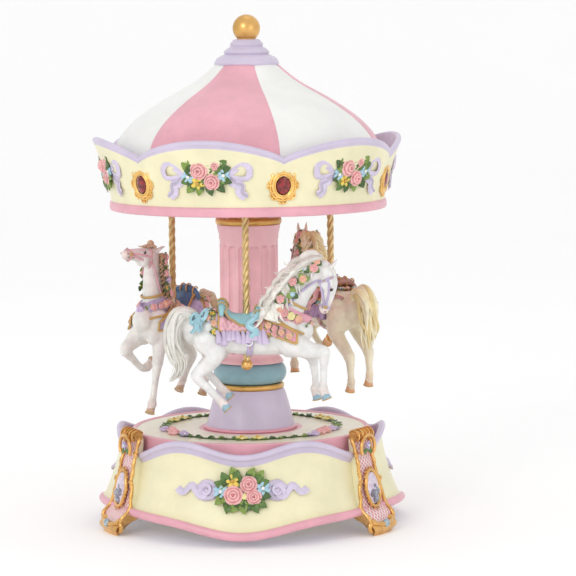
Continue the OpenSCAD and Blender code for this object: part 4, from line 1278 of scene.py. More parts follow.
def build_medallions():
    """Scrolled oval gold frames, each round a cut red stone."""
    frames, gems = bmesh.new(), bmesh.new()
    for k in range(6):
        place = canopy_frame(math.degrees(settings().canopy.facing) + k * SCALLOP, MEDALLION_Z)
        for rx, ry, r, lift in ((6.0, 7.3, 1.0, 0.9), (7.6, 9.0, 0.8, 0.5), (4.9, 6.1, 0.5, 1.4)):
            ring = [
                place @ Vector((rx * math.cos(FULL * i / 40), ry * math.sin(FULL * i / 40), lift))
                for i in range(41)
            ]
            tube(frames, ring, lambda t, r=r: r, 8, up=place.to_3x3() @ Vector((0, 0, 1)))
        for n in range(12):
            a = FULL * n / 12
            spot = place @ Matrix.Translation((6.9 * math.cos(a), 8.2 * math.sin(a), 1.1))
            ball(frames, (0, 0, 0), 0.75, (1, 1, 0.8), spot, (8, 5))
        for n in range(8):
            a = math.radians(45 * n)
            spot = place @ Matrix.Translation((7.9 * math.cos(a), 9.5 * math.sin(a), 0.5))
            spot = spot @ Matrix.Rotation(a, 4, "Z")
            for s in (-1, 1):
                curl = []
                for b in [0.45 * i for i in range(10)]:
                    x, y = 0.2 + 1.2 * math.sin(b) * (1 - b / 9), s * (0.3 + 1.3 * b / 3 - 0.5 * math.cos(b))
                    curl.append(spot @ Vector((x, y, 0.3)))
                tube(frames, curl, lambda t: 0.62 - 0.25 * t, 6)
        ball(gems, (0, 0, 0.7), 1, (4.5, 5.6, 2.0), place, (14, 6))
    piece(frames, "medallion_set", [gilt("bright_gilt", (0.75, 0.44, 0.12), rough=0.25)], "carousel",
          ["medallion_frames"], 50)
    ruby = gemstone("ruby_stone", (0.1, 0.001, 0.003), (0.42, 0.008, 0.01))
    piece(gems, "ruby_set", [ruby], "carousel", ["medallion_gems"], 8)


def build_canopy_bouquets():
    """Under each scallop: roses, small flowers and leaves between the loops and tails of a lilac bow."""
    tint = tuple(min(1, c * 1.1) for c in settings().paint.lilac)
    flowers = [
        (-3.6, 2.6, 5.6, "pink"), (4.0, -4.2, 5.0, "pink"), (6.2, 5.4, 3.6, "pink"),
        (-10.4, -1.2, 4.2, "blue"), (11.2, -0.2, 4.2, "blue"), (-4.8, -5.2, 4.4, "yellow"),
    ]
    leaves = [
        (-9, 3, 138, 7), (-7, 4, 108, 7.5), (-2, 5, 84, 7), (3, 6, 64, 7), (8, 5, 34, 7.5), (9, 3, 12, 7.5),
        (-9, -3, 196, 6.5), (-7, -6, 226, 7), (-3, -6, 256, 7), (2, -6, 284, 7), (7, -5, 312, 7.5),
        (10, -2, 338, 7), (1, 2, 50, 7), (4, 2, 20, 7), (-1, -2, 240, 6), (-6, 1, 170, 7), (0, 0, 300, 6),
        (7, 8, 80, 6),
    ]
    bm = tinted_mesh()
    tail = [(1, -1, 0.7), (3, -5.5, 1.2), (6.4, -7.5, 1.0), (5.6, -11.5, 1.3), (8.4, -14.5, 1.0)]
    for k in range(6):
        middle = math.degrees(settings().canopy.facing) + 30 + k * SCALLOP
        posy(bm, canopy_frame(middle, CANOPY_BOUQUET_Z), flowers, leaves, 20 + k)
        for s in (-1, 1):
            side = canopy_frame(middle + math.degrees(s * 12.5 / EAVE_R), CANOPY_BOUQUET_Z)
            bow_side(bm, side @ Matrix.Diagonal((s, 1, 1, 1)) @ turned(8), 13.5, 6.2, tint, tail)
    piece(bm, "canopy_bouquet_set", [tinted("flower_paint")], "carousel", ["valance_bouquets"])


# ---------- poles ----------

POLE_R = 2.15
ROPE_TURN = 17.0


def build_pole(k):
    """Twisted brass rod with an eye at its top, and the ball nut at its foot."""
    place = POLE_PLACE[k]
    body = f"horse_set_{k + 1}"
    bottom, top = low(f"pole_{k + 1}").z, place.z - 2.4
    bm = bmesh.new()
    ring = bmesh.ops.create_circle(bm, segments=36, radius=POLE_R)["verts"]
    for v in ring:
        a = math.atan2(v.co.y, v.co.x)
        v.co *= 0.68 + 0.32 * abs(math.cos(1.5 * a)) ** 0.75
    edges = list({e for v in ring for e in v.link_edges})
    bmesh.ops.contextual_create(bm, geom=edges)
    steps = 260
    bmesh.ops.spin(
        bm, geom=edges, cent=(0, 0, 0), axis=(0, 0, 1), dvec=(0, 0, (top - bottom) / steps),
        angle=FULL * (top - bottom) / ROPE_TURN, steps=steps, use_merge=False, use_duplicate=False,
    )
    last = [e for e in bm.edges if len(e.link_faces) == 1]
    bmesh.ops.contextual_create(bm, geom=last)
    bmesh.ops.translate(bm, vec=(place.x, place.y, bottom), verts=bm.verts)
    eye = bmesh.new()
    spun(eye, [(1.55, -2.5), (3.6, -2.5), (4.0, -2.0), (4.0, 2.0), (3.6, 2.5), (1.55, 2.5)], 48, closed=True)
    stand = outward(RIDE_PHI[k])
    stand.translation = place
    merge_in(bm, eye, stand)
    # The second colour is the brown painted shade in the rod's hollows.
    twisted = gilt(
        "twisted_brass", (0.52, 0.37, 0.15), (0.12, 0.06, 0.02), rough=0.34, metal=0.8, grain=200.0,
    )
    piece(bm, f"twisted_pole_{k + 1}", [twisted], body, [f"pole_{k + 1}"], 60)
    bm = bmesh.new()
    centre = Vector((place.x, place.y, BALL_Z[k]))
    ball(bm, centre, BALL_R, (1, 1, 0.95), detail=(40, 24))
    piece(bm, f"ball_nut_{k + 1}", [gold_paint()], body, [f"pole_ball_{k + 1}"], 60)


# ---------- horses ----------
# Limbs are lists of (forward, inward, up, radius) from the horse's middle, where the pole goes through.

TRUNK = (
    (32, 0, 3, 8), (27, 0, 1.5, 11.8), (16, 0, 0, 11.6), (2, 0, -0.4, 11.2), (-10, 0, 0.3, 10.8),
    (-23, 0, 2, 12.2), (-30, 0, 3, 9),
)

FRONT_LIMBS = {
    "neck": ((20, 0, 7, 11.5), (29, 0, 24, 8.8), (38, 0, 34.5, 7.2), (45.5, 0, 39.5, 5.6)),
    "head": (
        (45.5, 0, 39.5, 5.4), (49, 0, 32, 5.3), (48.6, 0, 25, 4.2), (47, 0, 18.5, 3.3), (46, 0, 15.5, 3.1),
    ),
    "near_fore": (
        (26, -6, -4, 8), (38, -7, -8, 5), (45.5, -6.5, -9.5, 3.9), (45.8, -6, -18, 2.4),
        (45.5, -6, -27, 2.2), (45.2, -6, -31, 2.8), (46.5, -6, -34.5, 2.9),
    ),
    "far_fore": (
        (26, 6, -4, 7.5), (34, 7, -10, 4.8), (38.5, 7, -13, 3.8), (39.8, 7, -21, 2.4), (40.6, 7, -29, 2.2),
        (40.3, 7, -33, 2.8), (41, 7, -36.5, 2.9),
    ),
    "near_hind": (
        (-22, -5, -1, 10.5), (-19, -7, -8, 7.6), (-20, -8, -14, 5), (-29, -7.5, -22.5, 3.7),
        (-23, -7, -30, 2.5), (-16, -7, -37.5, 2.4), (-13, -7, -41, 2.9),
    ),
    "far_hind": (
        (-22, 5, -1, 10.5), (-17, 7, -8, 7.2), (-18, 7.5, -12, 5), (-26.5, 7, -19.5, 3.6),
        (-21, 7, -26, 2.5), (-15, 7, -33, 2.4), (-12, 7, -36, 2.9),
    ),
}
RIGHT_LIMBS = {
    "neck": ((20, 0, 6, 11.5), (27.5, 0, 24, 8.8), (31, 0, 36, 7), (34, 0, 43, 6)),
    "head": (
        (34, 0, 43, 5.6), (40, 0, 38, 5.6), (44.5, 0, 31, 4.4), (47.5, 0, 25, 3.5), (48.5, 0, 22, 3.2),
    ),
    "near_fore": (
        (26, -6, -4, 8), (35, -7, -11, 5), (40.5, -7, -14.5, 3.9), (34, -7, -20, 2.5), (27, -7, -24.5, 2.3),
        (23, -7, -25, 2.8), (20, -7, -23.5, 2.9),
    ),
    "far_fore": (
        (26, 6, -4, 7.5), (33, 7, -13, 4.8), (37, 7, -19, 3.7), (36.8, 7, -27, 2.4), (36.5, 7, -34, 2.2),
        (36.3, 7, -37, 2.8), (36, 7, -39.5, 2.9),
    ),
    "near_hind": (
        (-22, -5, -1, 10.5), (-21, -7.5, -9, 7.4), (-23, -8, -14, 5), (-34.5, -7, -22.5, 3.7),
        (-35.5, -7, -30, 2.5), (-36, -7, -37, 2.4), (-35, -7, -41, 2.9),
    ),
    "far_hind": (
        (-22, 5, -1, 10.5), (-21, 7.5, -9, 7.4), (-23, 8, -14, 5), (-35.5, 7, -25, 3.7), (-37, 7, -33, 2.5),
        (-38, 7, -40, 2.4), (-37, 7, -43.5, 2.9),
    ),
}
LEFT_LIMBS = {
    "neck": ((19, 0, 6, 11.5), (21.5, 0, 22, 8.4), (22, 0, 34, 6.8), (22, 0, 42, 5.8)),
    "head": (
        (22, 0, 42, 5.6), (28.5, -0.8, 42.3, 5.6), (35, -2, 43.6, 4.3), (41, -3.4, 44.4, 3.5),
        (44, -4, 44.2, 3.3),
    ),
    "near_fore": (
        (24, -6, -4, 8), (35, -7, -10.5, 5), (41.5, -7, -14.5, 3.9), (34, -7, -21, 2.5),
        (25, -7, -27.5, 2.3), (19, -7, -27.5, 2.8), (15.5, -7, -25.5, 2.9),
    ),
    "far_fore": (
        (22, 6, -4, 7.5), (24, 6, -14, 4.8), (26, 6, -23, 3.7), (28.5, 6, -33, 2.4), (31, 6, -43, 2.3),
        (32.5, 6, -48, 2.8), (34, 6, -51, 2.9),
    ),
    "near_hind": (
        (-22, -5, -1, 10.5), (-18.5, -7.5, -9, 7.4), (-20, -8, -14.5, 5), (-30, -7, -25, 3.7),
        (-25, -7, -33, 2.5), (-20, -7, -40, 2.4), (-17, -7, -44, 2.9),
    ),
    "far_hind": (
        (-22, 5, -1, 10.5), (-18.5, 7.5, -9, 7.4), (-20, 8, -14.5, 5), (-28, 7, -26, 3.7),
        (-26, 7, -34, 2.5), (-24, 7, -42, 2.4), (-22, 7, -46, 2.9),
    ),
}
TAILS = (
    (
        (-30, 0, 9.5, 3), (-37, -1, 13.5, 4.4), (-42, -2, 8, 5.4), (-43.5, -3, 0, 6), (-42, -3, -9, 6),
        (-39.5, -3, -17, 4.6), (-42, -3, -23, 3), (-46, -3, -27, 1.4),
    ),
    (
        (-32, 0, 9.5, 3.4), (-39, 0, 14.5, 4.6), (-44.5, -0.5, 8, 5.8), (-46, -1, -2, 6.2),
        (-46, -1, -11, 5.6), (-45, -1, -20, 3),
    ),
    (
        (-31, 0, 9, 3), (-38, -1, 12, 4.4), (-43, -2, 6, 5.4), (-43.5, -3, -3, 5.6), (-41, -3, -12, 4.8),
        (-37.5, -3, -21, 2.4),
    ),
)
LIMB_SETS = (FRONT_LIMBS, RIGHT_LIMBS, LEFT_LIMBS)
BODY_TINTS = ((0.8, 0.79, 0.77), (0.84, 0.76, 0.58), (0.81, 0.79, 0.75))
HAIR_TINTS = (
    ((0.78, 0.76, 0.7), (0.7, 0.67, 0.61), (0.86, 0.84, 0.78)),
    ((0.78, 0.62, 0.3), (0.86, 0.74, 0.44), (0.9, 0.82, 0.58)),
    ((0.66, 0.48, 0.3), (0.74, 0.58, 0.4), (0.6, 0.4, 0.24)),
)
HOOF_TINTS = ((0.3, 0.46, 0.55), (0.7, 0.36, 0.18), (0.6, 0.42, 0.3))
GOLD_TINT = (0.55, 0.34, 0.1)
RIDE_OVER_BALL = 17.3
SKIN_VOXEL = 0.62


class Horse:
    """One horse's limbs and its finished body, with ways to find points on its skin."""

    def __init__(self, k):
        self.k = k
        self.limbs = dict(LIMB_SETS[k], trunk=TRUNK, tail=TAILS[k])
        middle = (POLE_PLACE[k].x, POLE_PLACE[k].y, BALL_Z[k] + RIDE_OVER_BALL)
        self.place = Matrix.Translation(middle) @ at(RIDE_PHI[k])
        self.skin = None
        self.tree = None

    def centre(self, limb, t):
        p = curve_point(self.limbs[limb], t)
        return Vector(p[:3]), p[3]

    def along(self, limb, t):
        a, b = self.centre(limb, max(t - 0.03, 0))[0], self.centre(limb, min(t + 0.03, 1))[0]
        return (b - a).normalized()

    def touch(self, middle, out, lift=0.0, reach=34, most=40.0):
        """Point on the skin met by looking back along a direction, lifted off by a little.

        A hit further out than most lies on another limb, and gives the point at that distance instead.
        """
        hit, normal, _, _ = self.tree.ray_cast(middle + out * reach, -out, reach)
        if hit is None:
            return middle + out * 6, out
        if (hit - middle).length > most:
            return middle + out * (most + lift), out
        return hit + (normal * 0.6 + out * 0.4).normalized() * lift, normal

    def on_trunk(self, x, v, lift=0.0):
        """Point on the barrel: x forward, v degrees from the spine, positive on the outer side."""
        a = math.radians(v)
        return self.touch(Vector((x, 0, 1)), Vector((0, -math.sin(a), math.cos(a))), lift, most=14.5)

    def raised(self, x, v, rise):
        """Point over the saddle's place, pushed straight up by a rise that dies out down the sides."""
        fall = max(0.0, 1 - (v / 50) ** 2)
        return self.on_trunk(x, v, 1.8)[0] + Vector((0, 0, rise * fall))

    def on_limb(self, limb, t, v, lift=0.0):
        """Point round a limb: v degrees from its crest, positive on the outer side."""
        middle, r = self.centre(limb, t)
        ahead = self.along(limb, t)
        crest = Vector((0, 1, 0)).cross(ahead).normalized()
        if limb == "neck":
            crest = -crest
        a = math.radians(v)
        out = crest * math.cos(a) + Vector((0, -1, 0)) * math.sin(a)
        return self.touch(middle, out.normalized(), lift, r * 2.2, r * 1.35)


def limb_volume(bm, keys, lateral, steps=22):
    """Closed sweep through a limb's keys, narrower from side to side by the lateral share."""
    path = smooth_path(keys, steps)
    radii = [p[3] for p in path]
    tube(
        bm, path, lambda t: radii[min(steps, round(t * steps))], sides=16, flat=lateral, up=None,
        side_axis=(0, 1, 0),
    )
    for p in (path[0], path[-1]):
        ball(bm, p[:3], p[3] * 0.98, (1, lateral, 1), detail=(14, 9))


def build_body(horse):
    """Joins the limb volumes, cheeks, muscles and ears into one smooth skin."""
    bm = bmesh.new()
    lateral = {"trunk": 0.86, "neck": 0.62, "head": 0.72, "tail": 0.8}
    for name, keys in horse.limbs.items():
        if name != "tail":
            limb_volume(bm, keys, lateral.get(name, 0.88))
    for side in (-1, 1):
        for x, y, z, r in ((24, 5.5, 1, 8.2), (-20, 5, 4, 9.6), (26, 4, -5, 7.2)):
            ball(bm, (x, side * y, z), r, (1, 0.8, 1.1), detail=(16, 10))
        for name in ("fore", "hind"):
            keys = horse.limbs[("near_" if side < 0 else "far_") + name]
            knee = keys[2] if name == "fore" else keys[3]
            ball(bm, knee[:3], knee[3] * 1.12, (1, 0.85, 1), detail=(12, 8))
            ball(bm, keys[-2][:3], keys[-2][3] * 1.15, (1, 0.95, 1), detail=(12, 8))
    jaw, brow, muzzle = horse.centre("head", 0.3), horse.along("head", 0.5), horse.centre("head", 0.93)
    front_dir = Vector((-brow.z, 0, brow.x))
    for side in (-1, 1):
        ball(bm, jaw[0] - front_dir * 2.6 + Vector((0, side * 1.9, 0)), 3.9, (1, 0.7, 1), detail=(14, 9))
        ball(
            bm, horse.centre("head", 0.42)[0] + front_dir * 1.5 + Vector((0, side * 2.7, 0)), 1.7,
            detail=(12, 8),
        )
        ball(bm, muzzle[0] + front_dir * 1.0 + brow * 1.2 + Vector((0, side * 1.5, 0)), 1.6, detail=(12, 8))
        ear_root = horse.centre("head", 0.02)[0] + front_dir * 3.6 + Vector((0, side * 2.4, 0)) - brow * 1.5
        tip = ear_root + front_dir * 3.6 - brow * 6.2 + Vector((0, side * 0.8, 0))
        ear = [ear_root.lerp(tip, i / 6) + front_dir * 0.7 * math.sin(math.pi * i / 6) for i in range(7)]
        tube(bm, ear, lambda t: 1.75 * (1 - t) ** 0.6 + 0.25, 8, 0.7)
    ball(bm, muzzle[0] - front_dir * 1.6 - brow * 0.6, 1.9, (1, 0.8, 1), detail=(12, 8))
    mesh = bpy.data.meshes.new("joining")
    bm.to_mesh(mesh)
    bm.free()
    source = bpy.data.objects.new("joining", mesh)
    bpy.context.collection.objects.link(source)
    union = source.modifiers.new("union", "REMESH")
    union.mode = "VOXEL"
    union.voxel_size = SKIN_VOXEL
    seen = source.evaluated_get(bpy.context.evaluated_depsgraph_get())
    skin = bpy.data.meshes.new_from_object(seen)
    bpy.data.objects.remove(source)
    bpy.data.meshes.remove(mesh)
    bm = bmesh.new()
    bm.from_mesh(skin)
    bpy.data.meshes.remove(skin)
    smoothed(bm, 4, 0.5)
    horse.skin = bm
    horse.tree = BVHTree.FromBMesh(bm)
    horse.brow = front_dir


def paint_body(horse):
    """Pearly skin, warmer at muzzle and fetlocks, with a carved mouth whose groove is darkened as painted
    shade, and eye hollows.
    """
    bm = horse.skin
    layer = bm.verts.layers.float_color.new("tint")
    base = Vector(BODY_TINTS[horse.k])
    rosy = Vector((0.78, 0.55, 0.48)) if horse.k != 1 else Vector((0.62, 0.4, 0.26))
    nose = horse.centre("head", 1.0)[0]
    ends = [Vector(keys[-1][:3]) for name, keys in horse.limbs.items() if "fore" in name or "hind" in name]
    ahead = horse.along("head", 0.9)
    eyes = [horse.centre("head", 0.42)[0] + horse.brow * 1.6 + Vector((0, s * 3.6, 0)) for s in (-1, 1)]
    mouth_line = nose - horse.brow * 0.8
    for v in bm.verts:
        share = max(0.0, 1 - (v.co - nose).length / 8.5) * 0.55
        for end in ends:
            share = max(share, max(0.0, 1 - (v.co - end).length / 9) * 0.6)
        v[layer] = (*base.lerp(rosy, min(share, 1)), 1)
        for eye in eyes:
            away = (v.co - eye).length
            if away < 2.2:
                v.co.y -= math.copysign(0.45, eye.y) * (1 - away / 2.2)
        # Painted shade: the mouth's groove is pushed in and coloured darker.
        off = v.co - mouth_line
        if 0 < -off.dot(ahead) < 5.5 and abs(off.dot(horse.brow) + 0.3) < 0.45 and abs(v.co.y - nose.y) > 0.6:
            v.co.y -= math.copysign(0.35, v.co.y - nose.y)
            v[layer] = (*(base * 0.55), 1)


def eyes_and_nostrils(horse, bm):
    """Dark eyes under a lid, and a dark red spot on each nostril as painted shade for its hollow."""
    for s in (-1, 1):
        spot = horse.centre("head", 0.42)[0] + horse.brow * 1.6
        eye, _ = horse.touch(spot, Vector((0, s, 0.12)).normalized(), -0.15, 12)
        ball(bm, eye, 1.05, (1, 0.7, 1), detail=(14, 9), tint=(0.035, 0.02, 0.02))
        lid = [
            eye + Vector((1.25 * math.cos(a), s * 0.35, 0.95 * math.sin(a)))
            for a in [math.radians(15 * i) for i in range(13)]
        ]
        tube(bm, lid, lambda t: 0.28, 6, tint=lambda t: (0.45, 0.36, 0.34))
        nostril = horse.centre("head", 0.97)[0] + horse.brow * 1.3 + horse.along("head", 0.9) * 0.6
        out = (Vector((0, s, 0)) + horse.along("head", 0.9) * 0.3).normalized()
        hole, _ = horse.touch(nostril, out, -0.1, 8)
        # Painted shade: a dark red spot set into the skin stands for the nostril's hollow.
        ball(bm, hole, 0.62, (1.3, 0.5, 0.9), detail=(10, 6), tint=(0.35, 0.16, 0.15))


def hooves(horse, bm):
    """A flared hoof with a gold band under each fetlock."""
    for name, keys in horse.limbs.items():
        if "fore" not in name and "hind" not in name:
            continue
        end, before = Vector(keys[-1][:3]), Vector(keys[-2][:3])
        down = (end - before).normalized()
        turn_it = down.to_track_quat("-Z", "Y").to_matrix().to_4x4()
        place = Matrix.Translation(end + down * 0.8) @ turn_it
        made = bmesh.ops.create_cone(
            bm, cap_ends=True, segments=18, radius1=2.9, radius2=2.3, depth=4.4, matrix=place
        )["verts"]
        paint(bm, made, tint=HOOF_TINTS[horse.k])
        for lift, r, tint in ((2.1, 2.3, BODY_TINTS[horse.k]), (-2.0, 2.85, GOLD_TINT)):
            ring = [
                place @ Vector((r * math.cos(a), r * math.sin(a), lift))
                for a in [math.radians(22.5 * i) for i in range(17)]
            ]
            tube(bm, ring, lambda t: 0.36, 6, tint=lambda t, c=tint: c)


def lock(bm, points, thick, tint, steps=18):
    """One thick round lock of hair along a smooth path, which tapers into its tip."""
    path = smooth_path([tuple(p) for p in points], steps)
    tube(
        bm, path,
        lambda t: thick * (0.6 + 0.4 * math.sin(math.pi * min(1, t * 1.3 + 0.15))) * (1 - 0.88 * t ** 2.6),
        8, 0.8, tint=lambda t: tint,
    )


def mane(horse, bm, dice):
    """Curling locks that fall from the crest on both sides, flying locks behind it, and a forelock."""
    shades = HAIR_TINTS[horse.k]
    reach = (1.0, 0.9, 0.75)[horse.k]
    for side, count, layer in ((1, 15, 0), (-1, 13, 0), (1, 12, 1), (-1, 8, 1)):
        for i in range(count):
            t = 0.1 + 0.88 * i / (count - 1)
            fall = dice.uniform(0.85, 1.15) * reach * (1 - 0.3 * layer)
            phase = dice.uniform(-0.5, 0.5) + 2.1 * layer
            pts = []
            for j in range(8):
                s = j / 7
                curl = math.sin(6.5 * s + phase)
                back = t - 0.3 * fall * s ** 1.2 + 0.05 * curl * s
                around = side * (2 + 92 * fall * s ** 0.9 + 13 * math.cos(6.5 * s + phase) * s)
                lift = 0.9 + 1.4 * layer + 1.3 * math.sin(math.pi * min(1, s * 1.1))
                point, _ = horse.on_limb("neck", min(max(back, 0.02), 0.99), around, lift)
                pts.append(point)
            lock(bm, pts, dice.uniform(1.9, 2.5), dice.choice(shades), 24)
    size_of = (1.25, 0.8, 0.6)[horse.k]
    for i in range(26):
        t = min(0.12 + 0.88 * i / 25, 0.99)
        root, normal = horse.on_limb("neck", t, (24, -20, 2)[i % 3], 0.2)
        crest, ahead = normal.normalized(), horse.along("neck", t)
        size = dice.uniform(0.85, 1.15) * size_of
        sway = (-3.0, 2.4, -0.4)[i % 3]
        steps = (
            (0, 0, 0), (3.0, 0.5, 0.2), (4.8, -3.5, 0.5), (3.6, -8.0, 0.9), (4.6, -12.0, 1.2),
            (6.8, -13.5, 1.3),
        )
        pts = [
            root + crest * up * size + ahead * on * size + Vector((0, sway * over, 0))
            for up, on, over in steps
        ]
        lock(bm, pts, dice.uniform(2.0, 2.5) * (0.6 + 0.4 * size_of), dice.choice(shades), 22)
    top = horse.centre("head", 0.04)[0] + horse.brow * 4.2
    ahead = horse.along("head", 0.3)
    for i in range(7):
        s = (i - 3) / 3
        steps = ((0, -2.4, 1.4), (2.2, 0.6, 2.0), (1.9, 3.8, 2.6), (0.9, 6.6, 3.0), (1.6, 8.4, 3.4))
        pts = [top + horse.brow * up + ahead * on + Vector((0, s * over, 0)) for up, on, over in steps]
        lock(bm, pts, 1.3, dice.choice(shades))
    if horse.k == 2:
        ball(bm, top + horse.brow * 3.6 + ahead * 1.5, 2.3, detail=(14, 9), tint=shades[0])


def tail(horse, bm, dice):
    """Thick locks twisting round the tail's middle line over a full core, parting into curls."""
    shades = HAIR_TINTS[horse.k]
    core = smooth_path([p[:3] for p in TAILS[horse.k]], 30)
    radii = smooth_path([p[3:] for p in TAILS[horse.k]], 30)
    tube(
        bm, core, lambda t: 0.62 * radii[round(30 * t)][0] * (1 - 0.7 * t ** 4), 12,
        tint=lambda t: shades[0],
    )
    for i in range(18):
        start = FULL * i / 9 + dice.uniform(-0.2, 0.2)
        out = 0.5 + 0.3 * (i % 2)
        last = dice.uniform(0.84, 1.0)
        pts = []
        for j in range(11):
            t = j / 10 * last
            middle, r = horse.centre("tail", t)
            ahead = horse.along("tail", t)
            side = ahead.cross(Vector((0, 1, 0))).normalized()
            over = side.cross(ahead)
            a = start + 1.9 * t + 0.4 * math.sin(8 * t + i)
            spread = r * out * (1 + 0.3 * t * math.sin(10 * t + 2 * i))
            pts.append(middle + side * math.cos(a) * spread + over * math.sin(a) * spread)
        lock(bm, pts, dice.uniform(1.9, 2.5), dice.choice(shades), 28)


def patch(bm, point, x_range, v_edge, tint, cells=(26, 22), thick=0.5, edge=None):
    """Cloth laid on the skin. Point(x, v) gives a place, and v_edge(x) how far it hangs on each side."""
    small = tinted_mesh()
    made = bmesh.ops.create_grid(small, x_segments=cells[0], y_segments=cells[1], size=1)["verts"]
    x0, x1 = x_range
    spots = {}
    for v in made:
        x = x0 + (x1 - x0) * (v.co.x + 1) / 2
        low_v, high_v = v_edge(x)
        spots[v] = (x, low_v + (high_v - low_v) * (v.co.y + 1) / 2)
    layer = small.verts.layers.float_color["tint"]
    for v, (x, a) in spots.items():
        v.co = point(x, a)
        v[layer] = (*tint(x, a), 1)
    smoothed(small, 2, 0.35)
    bmesh.ops.recalc_face_normals(small, faces=small.faces)
    bmesh.ops.solidify(small, geom=small.faces, thickness=thick)
    merge_in(bm, small)
    if edge:
        width, colour_of = edge
        n = 30
        rims = []
        stations = [x0 + (x1 - x0) * i / n for i in range(n + 1)]
        for which in (0, 1):
            rims.append([point(x, v_edge(x)[which]) for x in stations])
        for x in (x0, x1):
            a, b = v_edge(x)
            rims.append([point(x, a + (b - a) * i / n) for i in range(n + 1)])
        for rim in rims:
            tube(bm, rim, lambda t: width, 7, tint=lambda t: colour_of)


def spot_on(point, normal, spin=0.0):
    """Frame at a point of the skin, with Z outwards."""
    facing_out = normal.to_track_quat("Z", "Y").to_matrix().to_4x4()
    return Matrix.Translation(point) @ facing_out @ Matrix.Rotation(spin, 4, "Z")


def strap(bm, points, width, tint, thick=0.35, sides=8):
    """Flat strap lying on the skin through (point, normal) pairs."""
    pts = [p for p, _ in points]
    normals = [n for _, n in points]
    count = len(pts) - 1
    tube(
        bm, pts, lambda t: width / 2, sides, thick / (width / 2), tint=lambda t: tint,
        normals=lambda t: normals[min(count, round(t * count))],
    )


def studs(bm, points, step, r, tint):
    """Small balls on every so many points of a strap."""
    for p, n in points[::step]:
        ball(bm, p + n * 0.3, r, detail=(8, 5), tint=tint)


STYLES = (
    {
        "blanket": ((0.72, 0.3, 0.38), (0.84, 0.5, 0.55)), "under": (0.62, 0.5, 0.66),
        "saddle": (0.3, 0.58, 0.62), "seat_edge": (0.5, 0.34, 0.12), "bridle": (0.5, 0.42, 0.62),
        "chest": (0.72, 0.34, 0.42), "drape": (0.62, 0.52, 0.7), "scarf": (0.34, 0.6, 0.68),
        "flowers": ("peach", "pink", "gold", "peach", "pink"),
    },
    {
        "blanket": ((0.2, 0.48, 0.5), (0.35, 0.62, 0.62)), "under": (0.5, 0.28, 0.36),
        "saddle": (0.42, 0.2, 0.16), "seat_edge": (0.6, 0.38, 0.1), "bridle": (0.55, 0.3, 0.3),
        "chest": (0.3, 0.5, 0.52), "drape": (0.42, 0.3, 0.5), "scarf": (0.8, 0.5, 0.5),
        "flowers": ("pink", "peach", "gold", "pink", "mauve"),
    },
    {
        "blanket": ((0.42, 0.34, 0.58), (0.56, 0.48, 0.7)), "under": (0.36, 0.58, 0.55),
        "saddle": (0.08, 0.18, 0.34), "seat_edge": (0.66, 0.36, 0.08), "bridle": (0.78, 0.45, 0.5),
        "chest": (0.48, 0.4, 0.6), "drape": (0.45, 0.66, 0.6), "scarf": (0.75, 0.45, 0.5),
        "flowers": ("pink", "pink", "peach", "pink", "mauve"),
    },
)


def quilting(x, v):
    """0 on the diamond seams of the blanket and 1 in the middle of each cushion."""
    return abs(math.sin(0.9 * x + 0.11 * v) * math.sin(0.9 * x - 0.11 * v))


def blankets(horse, bm, style):
    """Scalloped under cloth and the quilted blanket over it."""

    def under_hem(x):
        deep = 88 + 8 * abs(math.sin(math.radians((x + 18) * 15)))
        return -deep, deep

    def hem(x):
        deep = 74 + 9 * math.sin(math.radians((x + 16) * 12)) ** 2
        return -deep, deep

    patch(
        bm, lambda x, v: horse.on_trunk(x, v, 0.7)[0], (-18, 14), under_hem, lambda x, v: style["under"],
        (30, 26), 0.45, (0.5, GOLD_TINT),
    )
    patch(
        bm, lambda x, v: horse.on_trunk(x, v, 1.15 + 0.45 * quilting(x, v) ** 0.6)[0], (-16, 12), hem,
        lambda x, v: style["blanket"][0 if quilting(x, v) < 0.12 else 1], (44, 40), 0.6, (0.62, GOLD_TINT),
    )


def saddle(horse, bm, style):
    """Seat that rises at both ends, with a roll and gold curls across each."""

    def seat(x, v):
        cantle, pommel = math.exp(-((x + 14) / 3.4) ** 2), math.exp(-((x - 7) / 2.8) ** 2)
        return horse.raised(x, v, 1.2 + 4.6 * cantle + 3.0 * pommel)

    def seat_edge(x):
        deep = 34 + 22 * math.exp(-((x + 1) / 6) ** 2)
        return -deep, deep

    leather, trim = style["saddle"], style["seat_edge"]
    patch(bm, seat, (-14.5, 7.5), seat_edge, lambda x, v: leather, (34, 26), 1.0, (0.7, trim))
    for x, lift, r, start, spin in ((-14.8, 5.2, 2.6, 200, 1), (7.4, 3.6, 1.9, 340, -1)):
        roll = [horse.raised(x, v, lift) for v in range(-44, 45, 8)]
        tube(bm, roll, lambda t: r * (0.45 + 0.55 * math.sin(math.pi * t)), 12, tint=lambda t: leather)
        for v in (-30, -10, 10, 30):
            p = horse.raised(x, v, lift)
            curl = scroll((0, 0, 0), r + 0.7, start, spin * 0.85, 0.9, 14)
            tube(bm, [p + Vector(q) for q in curl], lambda t: 0.45, 7, tint=lambda t: trim)


def scarf_and_stirrup(horse, bm, style, s):
    """On one side: the scarf that winds down from the saddle, and the stirrup at its end."""
    flap = [horse.on_trunk(4 + 2.4 * math.sin(0.75 * i), s * (18 + i * 6), 3.0) for i in range(14)]
    strap(bm, flap, 4.4, style["scarf"], 1.1)
    strap(bm, [(p + n * 0.7, n) for p, n in flap[:10]], 1.5, tuple(c * 1.2 for c in style["scarf"]), 0.7)
    p, n = horse.on_trunk(2, s * 98, 2.4)
    ring = [
        p + Vector((2.3 * math.cos(a), 0, 2.6 * math.sin(a) - 1.5))
        for a in [math.radians(22.5 * i) for i in range(17)]
    ]
    tube(bm, ring, lambda t: 0.55, 7, tint=lambda t: (0.8, 0.8, 0.78))


DRAPE_TOP = 74
DROPS = (0.0, 0.25, 0.5, 0.75, 1.0)


